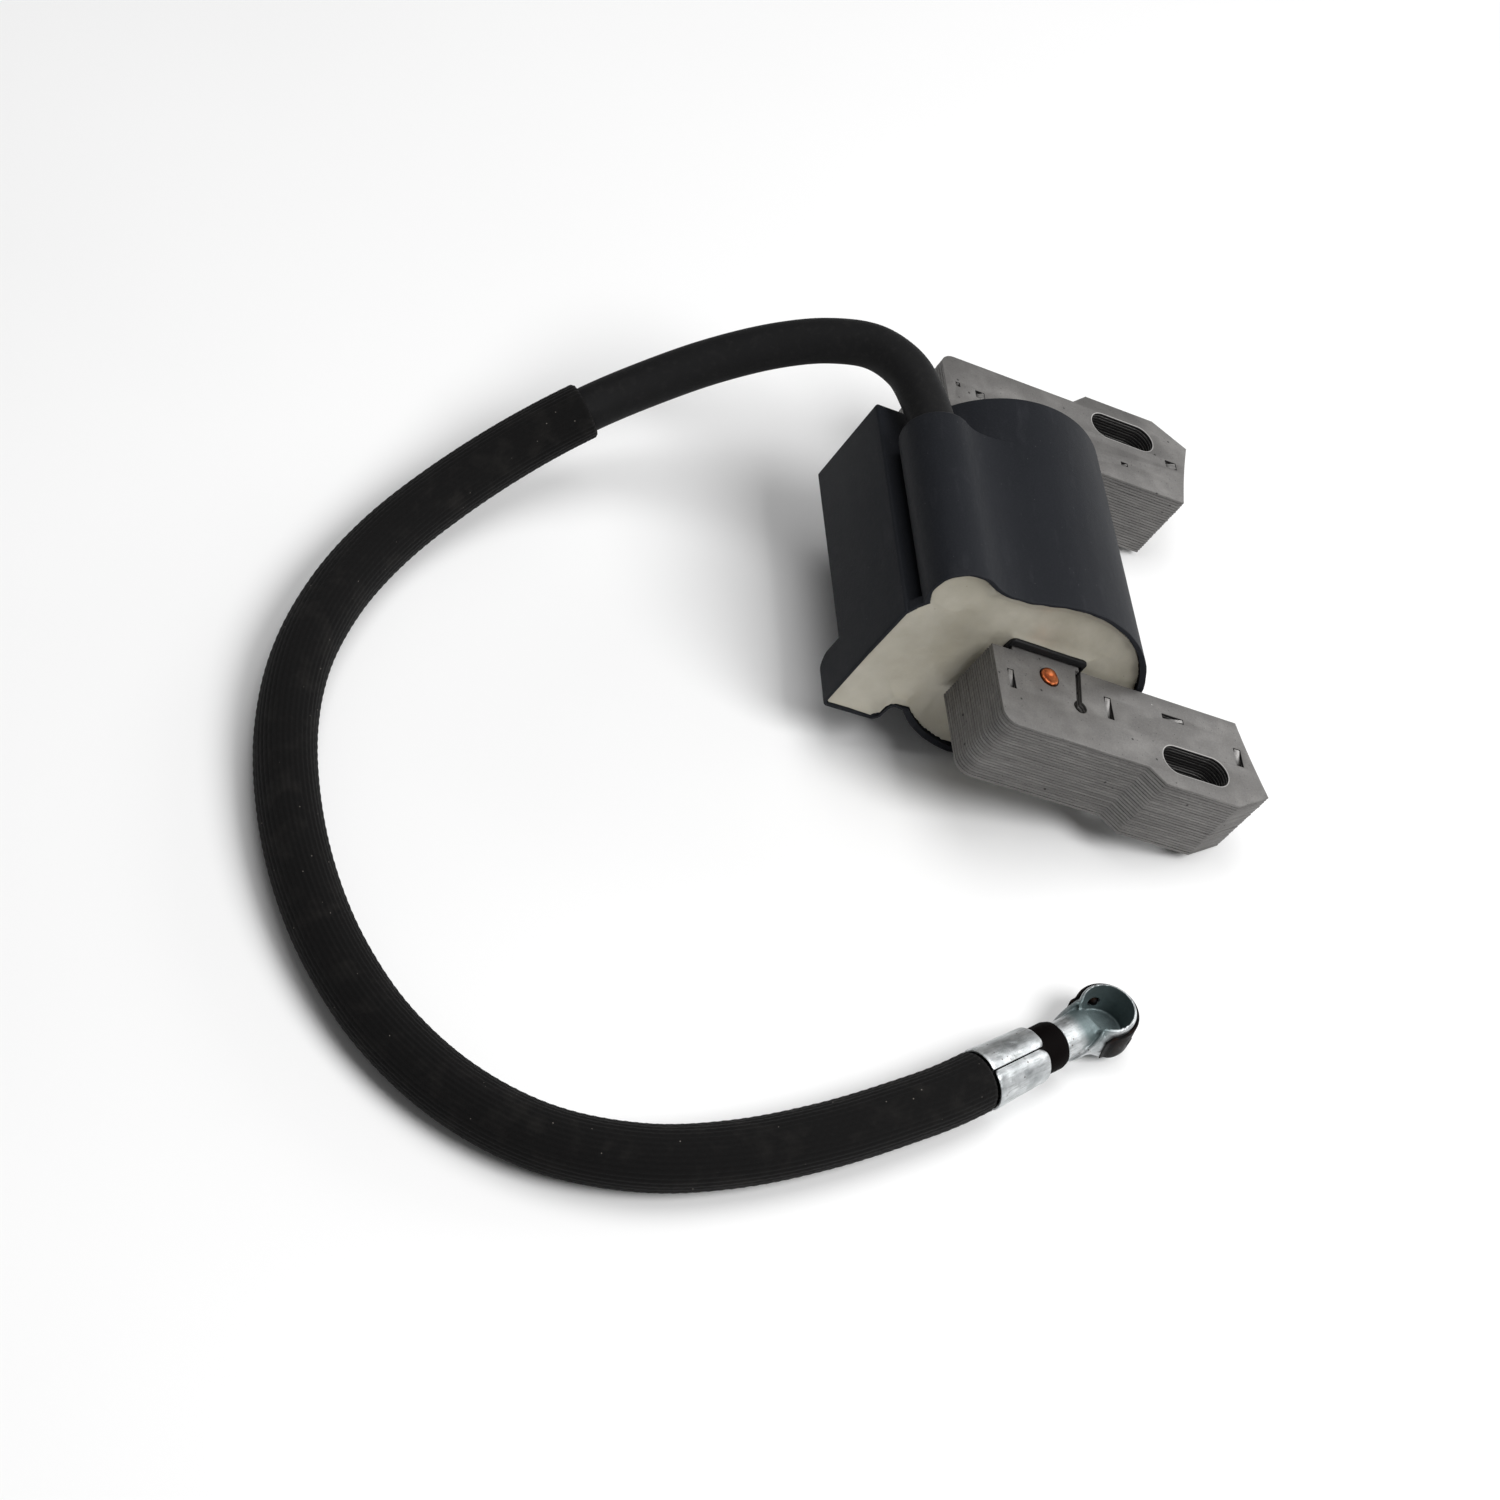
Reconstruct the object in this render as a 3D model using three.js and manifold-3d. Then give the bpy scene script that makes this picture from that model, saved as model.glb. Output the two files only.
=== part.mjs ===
// Ignition coil of a small engine, with its spark-plug lead.
//
// A U-shaped laminated core carries a potted housing on its limb. The housing holds the primary
// and secondary windings and a trigger board. The lead leaves a tower on the housing, turns down
// to the surface and curls round the front of the coil to a stamped plug terminal.
//
// The coil is modelled in core coordinates and then tilted as it rests: X runs from the backs of
// the legs to their tips, Y from leg to leg and Z through the stack of sheets. The lead and its
// terminal are modelled where they lie. Millimetres, +Z up, the surface is z = 0.

import * as THREE from 'three';
import { mergeVertices } from 'three/addons/utils/BufferGeometryUtils.js';
import ManifoldModule from 'manifold-3d';

const wasm = await ManifoldModule();
wasm.setup();

// ---- driving dimensions -------------------------------------------------------------------

const GAP = 0.3; // running gap between neighbouring pieces

// core
const STACK = 12.7; // height of the stack of sheets
const LEG_TIP = 46.8; // outer corner of a pole face, measured from the legs' backs
const LEG_INNER = 22.14; // inner edge of a leg, from the middle
const LEG_BACK_OUTER = 36.4; // outer edge of a leg's slim rear part
const LEG_FRONT_OUTER = 38.7; // outer edge of a leg's wide front part
const STEP_START = 24.9;
const STEP_END = 27.7;
const CHAMFER_START = 40.7;
const CHAMFER_OUTER = 35.1;
const POLE_RADIUS = 119; // flywheel side of the legs
const BACK_ROUNDING = 2.45;
const LIMB_X = [3.5, 15.2]; // limb between the legs
const SLOT = { x: 33.86, y: 33.42, length: 11.6, width: 5.0 };
const SLIT = { x: 14.95, width: 0.9, end: 29.1, hole: 1.1 };
const GROUND_PIN = { x: 9.4, y: -25.2, radius: 1.45, hole: 1.65, depth: 5, proud: 0.3 };

// housing
const WALL = 1.5;
const BARREL = { x: 9.35, z: 6.35, radius: 17.5 };
const OPEN_END = -21.8; // rim that the potting fills to
const FAR_END = 19;
const BOX = { x: [-14.3, 2], z: [-3.7, 13.2] };
const COLLAR = { x: [-14.8, -5.5], z: [-9.5, 10], depth: 7.3, web: -5.8 };
const TOWER = { x: -8.7, z: 18.3, radius: 5.3, bore: 3.8, mouth: 10, floor: -10 };
const VALLEY_TOP = [[-8.7, 23.6], [-6.5, 23.1], [-2, 22.4], [3, 22.5]];
const GROOVE_END = { outline: [[-14.3, 13], [-13.8, 16.2], [-10, 16], [-9, 13]], depth: 1.2 };
const FLARE = { reach: 1, core: 15.2, full: 15.8 }; // the leg side widens towards the open end

// potting, bobbins and windings, as half sizes about the limb's middle
const FIT = 0.15; // potting to housing
const POTTING_FACE = -21;
const COIL_POCKET = 15.1;
const TUBE_INNER = [6.15, 6.65];
const TUBE_OUTER = [7.35, 7.85];
const TUBE_Y = [-21.6, 18.7];
const COIL_Y = [-17.2, 16.4];
const FLANGE = { half: [9.45, 9.95], thickness: 1, rounding: 3.2 };
const PRIMARY_HALF = [9.25, 9.75];
const SECONDARY_INNER = [9.75, 10.25];
const SECONDARY_OUTER = [10.45, 10.95];
const FIN = { radius: 14.8, thickness: 0.8 };
const SECTIONS = 6; // winding sections between the fins
const WINDING_RADIUS = 14.5;

// trigger board and the parts on it
const BOARD = { x: [-11.5, -10.3], y: [-12, 14], z: [-1, 10.5] };
const BOARD_POCKET = { x: [-12.2, -6.4], y: [-12.5, 18], z: [-1.6, 11.1] };

// lead
const LEAD_RADIUS = 3.5;
const LEAD_BORE = 1.2;
const CONDUCTOR_RADIUS = 0.75;
const LEAD_STEPS = 45; // the conductor starts one step in, clear of the contact's spike
const SLEEVE_RADIUS = 4.5;
const SLEEVE_BORE = 3.95;
const SLEEVE_START = 84.7; // along the lead from its end inside the tower
const SLEEVE_STEPS = 26;
const LEAD_AXIS = 4.6; // height of the lead where it lies

// plug terminal, measured along the lead's own direction from the end of its rubber
const TERMINAL_TURN = THREE.MathUtils.degToRad(30);
const LEAD_END = [-4.1, -75.2, LEAD_AXIS];
const CRIMP = { from: -13.25, to: -4, outer: 4.4, inner: 3.95, taper: 0.927, seam: 2, seamAt: 107 };
const STRAP = { half: 1.8, z: [-4.1, -3.68], riser: 0.8 };
const NECK = { radius: 2.8, bore: 1.9 };
const CUP = { x: 9, radius: 4.2, bore: 3.3, z: [-3.4, 3], floor: 0.8 };
const SPRING = { inner: 4.45, outer: 4.95, z: [-2.9, 2.3], opening: 50 };

// Route of the lead's middle line, from inside the tower to the end of its rubber.
const ROUTE = [
  [-18.4, -8.3, 34.4],
  [-18.4, 2.5, 34.4],
  [-18.4, 11.5, 34.4],
  [-19.3, 18, 34.4],
  [-21, 23.8, 34.1],
  [-25, 29, 32.9],
  [-31, 31.8, 30.6],
  [-38, 33, 27.5],
  [-47, 33, 23],
  [-56, 31.8, 18.2],
  [-65, 29.3, 13.8],
  [-76, 24, 9.1],
  [-86, 16.5, 6.1],
  [-95, 7, LEAD_AXIS],
  [-102, -4, LEAD_AXIS],
  [-106.8, -16, LEAD_AXIS],
  [-109, -29, LEAD_AXIS],
  [-108.8, -42, LEAD_AXIS],
  [-106.6, -55, LEAD_AXIS],
  [-102.5, -67.3, LEAD_AXIS],
  [-96.2, -78.5, LEAD_AXIS],
  [-87, -88, LEAD_AXIS],
  [-76, -94.2, LEAD_AXIS],
  [-63.5, -96.4, LEAD_AXIS],
  [-50.8, -95.2, LEAD_AXIS],
  [-38.2, -91.8, LEAD_AXIS],
  [-26.3, -87.1, LEAD_AXIS],
  [-20.5, -84.5, LEAD_AXIS],
  [-14.5, -81.2, LEAD_AXIS],
  LEAD_END,
];

// ---- materials ----------------------------------------------------------------------------

function material(color, roughness, metalness) {
  return new THREE.MeshStandardMaterial({ color, roughness, metalness, flatShading: true });
}

const SHEET_STEEL = material(0x8e8d8b, 0.5, 0.8);
const COPPER = material(0xb8693f, 0.35, 1);
const BRASS = material(0xb79a5c, 0.35, 1);
const ZINC = material(0xaeb2b3, 0.35, 1);
const DARK_SPRING = material(0x2c2624, 0.5, 0.8);
const HOUSING_PLASTIC = material(0x36383d, 0.55, 0);
const BOBBIN_PLASTIC = material(0x1b1c1e, 0.5, 0);
const RESIN = material(0xcfc9b8, 0.5, 0);
const ENAMEL_WIRE = material(0x8a3f22, 0.35, 0.6);
const BOARD_LAMINATE = material(0x2f5a3a, 0.5, 0);
const COMPONENT_CASE = material(0x202022, 0.5, 0);
const COMPONENT_CERAMIC = material(0xb89f78, 0.6, 0);
const RUBBER = material(0x2d2d2f, 0.7, 0);
const BRAID = material(0x17171a, 0.85, 0);

// ---- shapes and solids --------------------------------------------------------------------

function polygon(points) {
  return new THREE.Shape(points.map(([x, y]) => new THREE.Vector2(x, y)));
}

function rectangle([x0, x1], [y0, y1]) {
  return polygon([[x0, y0], [x1, y0], [x1, y1], [x0, y1]]);
}

function circle(x, y, radius) {
  const shape = new THREE.Shape();
  shape.absarc(x, y, radius, 0, 2 * Math.PI, false);
  return shape;
}

function roundedRectangle(x, y, [halfX, halfY], rounding) {
  const shape = new THREE.Shape();
  const reachX = halfX - rounding;
  const reachY = halfY - rounding;
  const quarter = Math.PI / 2;
  shape.absarc(x + reachX, y + reachY, rounding, 0, quarter, false);
  shape.absarc(x - reachX, y + reachY, rounding, quarter, 2 * quarter, false);
  shape.absarc(x - reachX, y - reachY, rounding, 2 * quarter, 3 * quarter, false);
  shape.absarc(x + reachX, y - reachY, rounding, 3 * quarter, 4 * quarter, false);
  return shape;
}

// Prism through the stack: the shape is drawn in X and Y.
function prismZ(shape, [z0, z1], curveSegments = 8) {
  const geometry = new THREE.ExtrudeGeometry(shape, { depth: z1 - z0, bevelEnabled: false, curveSegments });
  return geometry.translate(0, 0, z0);
}

// Prism from leg to leg: the shape is drawn in X and Z.
function prismY(shape, [y0, y1], curveSegments = 8) {
  const geometry = new THREE.ExtrudeGeometry(shape, { depth: y1 - y0, bevelEnabled: false, curveSegments });
  return geometry.rotateX(Math.PI / 2).translate(0, y1, 0);
}

// Prism along X: the shape is drawn in Y and Z.
function prismX(shape, [x0, x1], curveSegments = 8) {
  const turn = new THREE.Matrix4().makeBasis(
    new THREE.Vector3(0, 1, 0),
    new THREE.Vector3(0, 0, 1),
    new THREE.Vector3(1, 0, 0),
  );
  const geometry = new THREE.ExtrudeGeometry(shape, { depth: x1 - x0, bevelEnabled: false, curveSegments });
  return geometry.applyMatrix4(turn).translate(x0, 0, 0);
}

// Turned piece on an axis along Y: the profile holds pairs of radius and place on the axis.
function turnedY(profile, x, z, segments) {
  const points = profile.map(([radius, y]) => new THREE.Vector2(radius, y));
  return new THREE.LatheGeometry(points, segments).translate(x, 0, z);
}

function weld(geometry) {
  const bare = geometry.clone();
  bare.deleteAttribute('normal');
  bare.deleteAttribute('uv');
  return mergeVertices(bare, 1e-4);
}

function toSolid(geometry) {
  const welded = weld(geometry);
  const vertProperties = new Float32Array(welded.attributes.position.array);
  const triVerts = new Uint32Array(welded.index.array);
  return new wasm.Manifold(new wasm.Mesh({ numProp: 3, vertProperties, triVerts }));
}

function toGeometry(solid) {
  const mesh = solid.getMesh();
  const geometry = new THREE.BufferGeometry();
  geometry.setAttribute('position', new THREE.BufferAttribute(mesh.vertProperties, 3));
  geometry.setIndex(new THREE.BufferAttribute(mesh.triVerts, 1));
  return geometry;
}

function join(geometries) {
  return geometries.map(toSolid).reduce((whole, piece) => whole.add(piece));
}

function cut(solid, geometries) {
  return geometries.map(toSolid).reduce((rest, tool) => rest.subtract(tool), solid);
}

function addPart(group, name, geometry, look) {
  const mesh = new THREE.Mesh(weld(geometry), look);
  mesh.name = name;
  group.add(mesh);
}

// ---- core ---------------------------------------------------------------------------------

function poleFaceX(y) {
  const middle = LEG_TIP + Math.sqrt(POLE_RADIUS ** 2 - CHAMFER_OUTER ** 2);
  return middle - Math.sqrt(POLE_RADIUS ** 2 - y ** 2);
}

// Half of the outline, from the limb's back round the leg to the limb's front, for y > 0.
function legOutline() {
  const points = [[LIMB_X[0], LEG_INNER], [0, LEG_INNER]];
  const corner = LEG_BACK_OUTER - BACK_ROUNDING;
  for (let step = 0; step <= 4; step += 1) {
    const angle = Math.PI - (step / 4) * (Math.PI / 2);
    points.push([
      BACK_ROUNDING + BACK_ROUNDING * Math.cos(angle),
      corner + BACK_ROUNDING * Math.sin(angle),
    ]);
  }
  points.push([STEP_START, LEG_BACK_OUTER], [STEP_END, LEG_FRONT_OUTER]);
  points.push([CHAMFER_START, LEG_FRONT_OUTER]);
  for (let step = 0; step <= 4; step += 1) {
    const y = CHAMFER_OUTER + (step / 4) * (LEG_INNER - CHAMFER_OUTER);
    points.push([poleFaceX(y), y]);
  }
  points.push([LIMB_X[1], LEG_INNER]);
  return points;
}

function slotHole(side) {
  const reach = (SLOT.length - SLOT.width) / 2;
  const hole = new THREE.Path();
  const y = side * SLOT.y;
  hole.absarc(SLOT.x + reach, y, SLOT.width / 2, -Math.PI / 2, Math.PI / 2, false);
  hole.absarc(SLOT.x - reach, y, SLOT.width / 2, Math.PI / 2, 1.5 * Math.PI, false);
  return hole;
}

function coreLaminations() {
  const far = legOutline();
  const near = far.map(([x, y]) => [x, -y]).reverse();
  const outline = polygon([...far, ...near]);
  outline.holes.push(slotHole(1), slotHole(-1));
  const through = [-1, STACK + 1];
  const slitX = [SLIT.x - SLIT.width / 2, SLIT.x + SLIT.width / 2];
  const cuts = [];
  for (const side of [-1, 1]) {
    const reach = [LEG_INNER - 0.01, SLIT.end].map((y) => side * y).sort((a, b) => a - b);
    cuts.push(prismZ(rectangle(slitX, reach), through));
    cuts.push(prismZ(circle(SLIT.x, side * SLIT.end, SLIT.hole), through));
  }
  const pinHole = circle(GROUND_PIN.x, GROUND_PIN.y, GROUND_PIN.hole);
  cuts.push(prismZ(pinHole, [STACK - GROUND_PIN.depth, STACK + 1]));
  return toGeometry(cut(toSolid(prismZ(outline, [0, STACK], 6)), cuts));
}

function groundPin() {
  const shape = circle(GROUND_PIN.x, GROUND_PIN.y, GROUND_PIN.radius);
  return prismZ(shape, [STACK - GROUND_PIN.depth + GAP, STACK + GROUND_PIN.proud]);
}

// ---- housing and potting ------------------------------------------------------------------

function inset([low, high], by) {
  return [low + by, high - by];
}

function housingBody() {
  const valley = polygon([...VALLEY_TOP, [BARREL.x, 18], [0, 10], [TOWER.x, 12]]);
  const collarY = [OPEN_END, OPEN_END + COLLAR.depth];
  return join([
    prismY(circle(BARREL.x, BARREL.z, BARREL.radius), [OPEN_END, FAR_END], 32),
    prismY(rectangle(BOX.x, BOX.z), [OPEN_END, FAR_END]),
    prismY(rectangle(COLLAR.x, COLLAR.z), collarY),
    prismY(rectangle([COLLAR.x[1] - 1, 0], [COLLAR.web, 0]), collarY),
    prismY(circle(TOWER.x, TOWER.z, TOWER.radius), [OPEN_END, TOWER.mouth], 14),
    prismY(valley, [OPEN_END, TOWER.mouth]),
    prismY(polygon(GROOVE_END.outline), [OPEN_END, OPEN_END + GROOVE_END.depth]),
  ]);
}

// Widens the barrel's leg side evenly from the far end to the open end; the coil pocket stays.
function flared(geometry) {
  const { smoothstep } = THREE.MathUtils;
  const places = geometry.attributes.position;
  for (let index = 0; index < places.count; index += 1) {
    const x = places.getX(index) - BARREL.x;
    const z = places.getZ(index) - BARREL.z;
    const angle = THREE.MathUtils.radToDeg(Math.atan2(z, x));
    const round = smoothstep(angle, -65, -20) * (1 - smoothstep(angle, 50, 100));
    const outside = smoothstep(Math.hypot(x, z), FLARE.core, FLARE.full);
    const along = (FAR_END - places.getY(index)) / (FAR_END - OPEN_END);
    places.setX(index, places.getX(index) + FLARE.reach * round * outside * along);
  }
  return geometry;
}

// Space inside the housing from the plane y = front, shrunk by a clearance all round.
function housingSpace(front, clearance) {
  const inwards = WALL + clearance;
  const back = FAR_END - inwards;
  const collarBack = OPEN_END + COLLAR.depth - inwards;
  const floor = TOWER.floor - clearance;
  const roof = VALLEY_TOP.map(([x, z]) => [x, z - inwards]);
  const valley = polygon([...roof, [BARREL.x, 18 - inwards], [0, 9], [TOWER.x, 9]]);
  const boxX = [BOX.x[0] + inwards, BOX.x[1]];
  const collarX = inset(COLLAR.x, inwards);
  const collarZ = [COLLAR.z[0] + inwards, COLLAR.z[1] - 2];
  const webX = [COLLAR.x[1] - 1 - inwards, 0];
  return join([
    prismY(circle(BARREL.x, BARREL.z, BARREL.radius - inwards), [front, back], 32),
    prismY(rectangle(boxX, inset(BOX.z, inwards)), [front, back]),
    prismY(rectangle(collarX, collarZ), [front, collarBack]),
    prismY(rectangle(webX, [COLLAR.web + inwards, 0]), [front, collarBack]),
    prismY(circle(TOWER.x, TOWER.z, TOWER.bore - clearance), [front, floor], 14),
    prismY(valley, [front, floor]),
  ]);
}

function passage(clearance) {
  const half = TUBE_OUTER.map((size) => size + clearance);
  return prismY(roundedRectangle(BARREL.x, BARREL.z, half, 1), [OPEN_END - 1, FAR_END + 1], 3);
}

function housing() {
  const leadBore = prismY(circle(TOWER.x, TOWER.z, TOWER.bore), [TOWER.floor - 1, TOWER.mouth + 1], 14);
  const hollow = housingBody().subtract(housingSpace(OPEN_END - 1, 0));
  return flared(toGeometry(cut(hollow, [leadBore, passage(GAP)])));
}

function pottingCompound() {
  const boardPocket = prismY(rectangle(BOARD_POCKET.x, BOARD_POCKET.z), BOARD_POCKET.y);
  const coilPocket = prismY(circle(BARREL.x, BARREL.z, COIL_POCKET), [COIL_Y[0] - 0.4, FAR_END], 28);
  const tailHole = prismY(circle(TOWER.x, TOWER.z, 0.8), [-15, TOWER.floor + 1], 3);
  const filled = housingSpace(POTTING_FACE, FIT);
  return flared(toGeometry(cut(filled, [coilPocket, boardPocket, tailHole, passage(GAP)])));
}

// ---- bobbins and windings -----------------------------------------------------------------

function ring(outer, inner, y, segments) {
  outer.holes.push(inner);
  return prismY(outer, y, segments);
}

function limbRectangle(half, rounding) {
  return roundedRectangle(BARREL.x, BARREL.z, half, rounding);
}

function primaryBobbin() {
  const tube = ring(limbRectangle(TUBE_OUTER, 1), limbRectangle(TUBE_INNER, 0.3), TUBE_Y, 2);
  const near = [COIL_Y[0], COIL_Y[0] + FLANGE.thickness];
  const far = [COIL_Y[1] - FLANGE.thickness, COIL_Y[1]];
  const bore = TUBE_OUTER.map((size) => size - 0.5);
  const flanges = [near, far].map((y) => {
    return ring(limbRectangle(FLANGE.half, FLANGE.rounding), limbRectangle(bore, 0.6), y, 3);
  });
  return toGeometry(join([tube, ...flanges]));
}

function primaryWinding() {
  const bore = TUBE_OUTER.map((size) => size + GAP);
  const y = inset(COIL_Y, FLANGE.thickness + GAP);
  return ring(limbRectangle(PRIMARY_HALF, 3), limbRectangle(bore, 1.2), y, 4);
}

const FIN_PITCH = (COIL_Y[1] - COIL_Y[0] - FIN.thickness) / SECTIONS;

function secondaryBobbin() {
  const tube = ring(limbRectangle(SECONDARY_OUTER, 4), limbRectangle(SECONDARY_INNER, 3.4), COIL_Y, 4);
  const bore = SECONDARY_OUTER.map((size) => size - 0.35);
  const fins = Array.from({ length: SECTIONS + 1 }, (_, index) => {
    const y = COIL_Y[0] + index * FIN_PITCH;
    const disc = circle(BARREL.x, BARREL.z, FIN.radius);
    return ring(disc, limbRectangle(bore, 3.7), [y, y + FIN.thickness], 9);
  });
  return toGeometry(join([tube, ...fins]));
}

function secondaryWinding(index) {
  const bore = SECONDARY_OUTER.map((size) => size + GAP);
  const y = COIL_Y[0] + index * FIN_PITCH;
  const disc = circle(BARREL.x, BARREL.z, WINDING_RADIUS);
  const span = [y + FIN.thickness + GAP, y + FIN_PITCH - GAP];
  return ring(disc, limbRectangle(bore, 4.2), span, 9);
}

// ---- trigger board ------------------------------------------------------------------------

function box([x0, x1], y, z) {
  return prismX(rectangle(y, z), [x0, x1]);
}

function powerTransistor() {
  return toGeometry(join([
    box([-10, -6.9], [-9, -2], [2, 8]),
    box([-10, -9], [-9, -2], [7.9, 10.2]),
  ]));
}

// Small spool with two cheeks, lying along Y.
function triggerCoil() {
  const profile = [[0, 0.5], [1.5, 0.5], [1.5, 1.2], [1.1, 1.2], [1.1, 6.3], [1.5, 6.3], [1.5, 7], [0, 7]];
  return turnedY(profile, -8.4, 3.2, 12);
}

// Barrel-shaped body with a wire stub at each end, lying along Y.
function axialPart(radius, [y0, y1], z) {
  const stub = 0.3;
  const shoulder = 0.5;
  const profile = [
    [0, y0 - 1],
    [stub, y0 - 1],
    [stub, y0],
    [radius * 0.8, y0],
    [radius, y0 + shoulder],
    [radius, y1 - shoulder],
    [radius * 0.8, y1],
    [stub, y1],
    [stub, y1 + 1],
    [0, y1 + 1],
  ];
  return turnedY(profile, -8.7, z, 12);
}

// ---- lead ---------------------------------------------------------------------------------

const leadCurve = new THREE.CatmullRomCurve3(
  ROUTE.map(([x, y, z]) => new THREE.Vector3(x, y, z)),
  false,
  'centripetal',
);
leadCurve.arcLengthDivisions = 1200;
const LEAD_LENGTH = leadCurve.getLength();

// Tube round the lead's middle line between two distances along it.
function leadTube(radius, bore, from, to, steps, sides) {
  const points = Array.from({ length: steps + 1 }, (_, index) => {
    const along = from + ((to - from) * index) / steps;
    return leadCurve.getPointAt(Math.min(along / LEAD_LENGTH, 1));
  });
  const section = circle(0, 0, radius);
  if (bore > 0) {
    section.holes.push(circle(0, 0, bore));
  }
  const extrudePath = new THREE.CatmullRomCurve3(points);
  const curveSegments = sides / 2;
  return new THREE.ExtrudeGeometry(section, { steps, extrudePath, curveSegments, bevelEnabled: false });
}

function htContact() {
  const disc = 3.3;
  const pin = 0.5;
  const profile = [
    [0, -14.6],
    [pin, -14.6],
    [pin, -9.6],
    [disc, -9.6],
    [disc, -8.6],
    [pin, -8.6],
    [pin, -2.6],
    [0, -2],
  ];
  return turnedY(profile, TOWER.x, TOWER.z, 16);
}

// ---- plug terminal ------------------------------------------------------------------------

// Rolled strip with a seam near its top, narrowing towards the terminal.
function crimpBarrel() {
  const seam = THREE.MathUtils.degToRad(CRIMP.seam);
  const first = THREE.MathUtils.degToRad(CRIMP.seamAt) + seam;
  const last = first + 2 * Math.PI - 2 * seam;
  const section = new THREE.Shape();
  section.absarc(0, 0, CRIMP.outer, first, last, false);
  section.absarc(0, 0, CRIMP.inner, last, first, true);
  const geometry = prismX(section, [CRIMP.from, CRIMP.to], 24);
  const places = geometry.attributes.position;
  for (let index = 0; index < places.count; index += 1) {
    const along = (places.getX(index) - CRIMP.from) / (CRIMP.to - CRIMP.from);
    const scale = 1 + along * (CRIMP.taper - 1);
    places.setY(index, places.getY(index) * scale);
    places.setZ(index, places.getZ(index) * scale);
  }
  return geometry;
}

function plugTerminal() {
  const start = GAP;
  const strapEnd = start + STRAP.riser;
  const strapY = [-STRAP.half, STRAP.half];
  const strap = box([CRIMP.to - 0.8, strapEnd], strapY, STRAP.z);
  const riser = box([start, strapEnd], strapY, [STRAP.z[0], -NECK.bore - 0.1]);
  const cup = prismZ(circle(CUP.x, 0, CUP.radius), CUP.z, 16);
  const neck = prismX(circle(0, 0, NECK.radius), [start, CUP.x - CUP.bore], 10);
  const well = prismZ(circle(CUP.x, 0, CUP.bore), [CUP.z[0] + CUP.floor, CUP.z[1] + 1], 14);
  const neckBore = prismX(circle(0, 0, NECK.bore), [start - 1, CUP.x], 8);
  const mouth = prismX(circle(0, CUP.z[1] + 0.9, 2.4), [CUP.x - CUP.radius - 1, CUP.x], 8);
  return toGeometry(cut(join([crimpBarrel(), strap, riser, cup, neck]), [well, neckBore, mouth]));
}

// Band of spring steel round the cup, open towards the neck.
function terminalSpring() {
  const opening = THREE.MathUtils.degToRad(SPRING.opening);
  const section = new THREE.Shape();
  section.absarc(CUP.x, 0, SPRING.outer, -Math.PI + opening, Math.PI - opening, false);
  section.absarc(CUP.x, 0, SPRING.inner, Math.PI - opening, -Math.PI + opening, true);
  return prismZ(section, SPRING.z, 20);
}

// ---- assembly -----------------------------------------------------------------------------

function buildCoil() {
  const coil = new THREE.Group();
  addPart(coil, 'core_laminations', coreLaminations(), SHEET_STEEL);
  addPart(coil, 'ground_pin', groundPin(), COPPER);
  addPart(coil, 'housing', housing(), HOUSING_PLASTIC);
  addPart(coil, 'potting_compound', pottingCompound(), RESIN);
  addPart(coil, 'primary_bobbin', primaryBobbin(), BOBBIN_PLASTIC);
  addPart(coil, 'primary_winding', primaryWinding(), ENAMEL_WIRE);
  addPart(coil, 'secondary_bobbin', secondaryBobbin(), BOBBIN_PLASTIC);
  for (let index = 0; index < SECTIONS; index += 1) {
    addPart(coil, `secondary_winding_${index + 1}`, secondaryWinding(index), ENAMEL_WIRE);
  }
  addPart(coil, 'circuit_board', box(BOARD.x, BOARD.y, BOARD.z), BOARD_LAMINATE);
  addPart(coil, 'power_transistor', powerTransistor(), COMPONENT_CASE);
  addPart(coil, 'trigger_coil', triggerCoil(), ENAMEL_WIRE);
  addPart(coil, 'resistor', axialPart(0.9, [-8, -3], 0.2), COMPONENT_CERAMIC);
  addPart(coil, 'diode', axialPart(1, [8.5, 12], 7.5), COMPONENT_CASE);
  addPart(coil, 'ht_contact', htContact(), BRASS);
  return coil;
}

function buildLead() {
  const lead = new THREE.Group();
  const sleeveEnd = LEAD_LENGTH + CRIMP.from - GAP;
  const firstStep = LEAD_LENGTH / LEAD_STEPS;
  const conductor = leadTube(CONDUCTOR_RADIUS, 0, firstStep, LEAD_LENGTH - GAP, LEAD_STEPS - 1, 8);
  const insulation = leadTube(LEAD_RADIUS, LEAD_BORE, 0, LEAD_LENGTH, LEAD_STEPS, 12);
  const sleeve = leadTube(SLEEVE_RADIUS, SLEEVE_BORE, SLEEVE_START, sleeveEnd, SLEEVE_STEPS, 12);
  addPart(lead, 'lead_conductor', conductor, COPPER);
  addPart(lead, 'lead_insulation', insulation, RUBBER);
  addPart(lead, 'lead_sleeve', sleeve, BRAID);
  return lead;
}

function buildTerminal() {
  const terminal = new THREE.Group();
  terminal.position.set(...LEAD_END);
  terminal.rotation.z = TERMINAL_TURN;
  addPart(terminal, 'plug_terminal', plugTerminal(), ZINC);
  addPart(terminal, 'terminal_spring', terminalSpring(), DARK_SPRING);
  return terminal;
}

// The coil lies on the lower edges of its two leg tips and on the barrel's round underside.
function restTilt() {
  const run = LEG_TIP - BARREL.x;
  return Math.asin(BARREL.radius / Math.hypot(run, BARREL.z)) - Math.atan2(BARREL.z, run);
}

// Turns the coil to rest and puts the middle of its footprint on the origin.
function layDown(coil) {
  coil.rotation.y = restTilt();
  coil.updateMatrixWorld(true);
  const bounds = new THREE.Box3().setFromObject(coil, true);
  const middle = bounds.getCenter(new THREE.Vector3());
  coil.position.set(-middle.x, -middle.y, -bounds.min.z);
}

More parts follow.
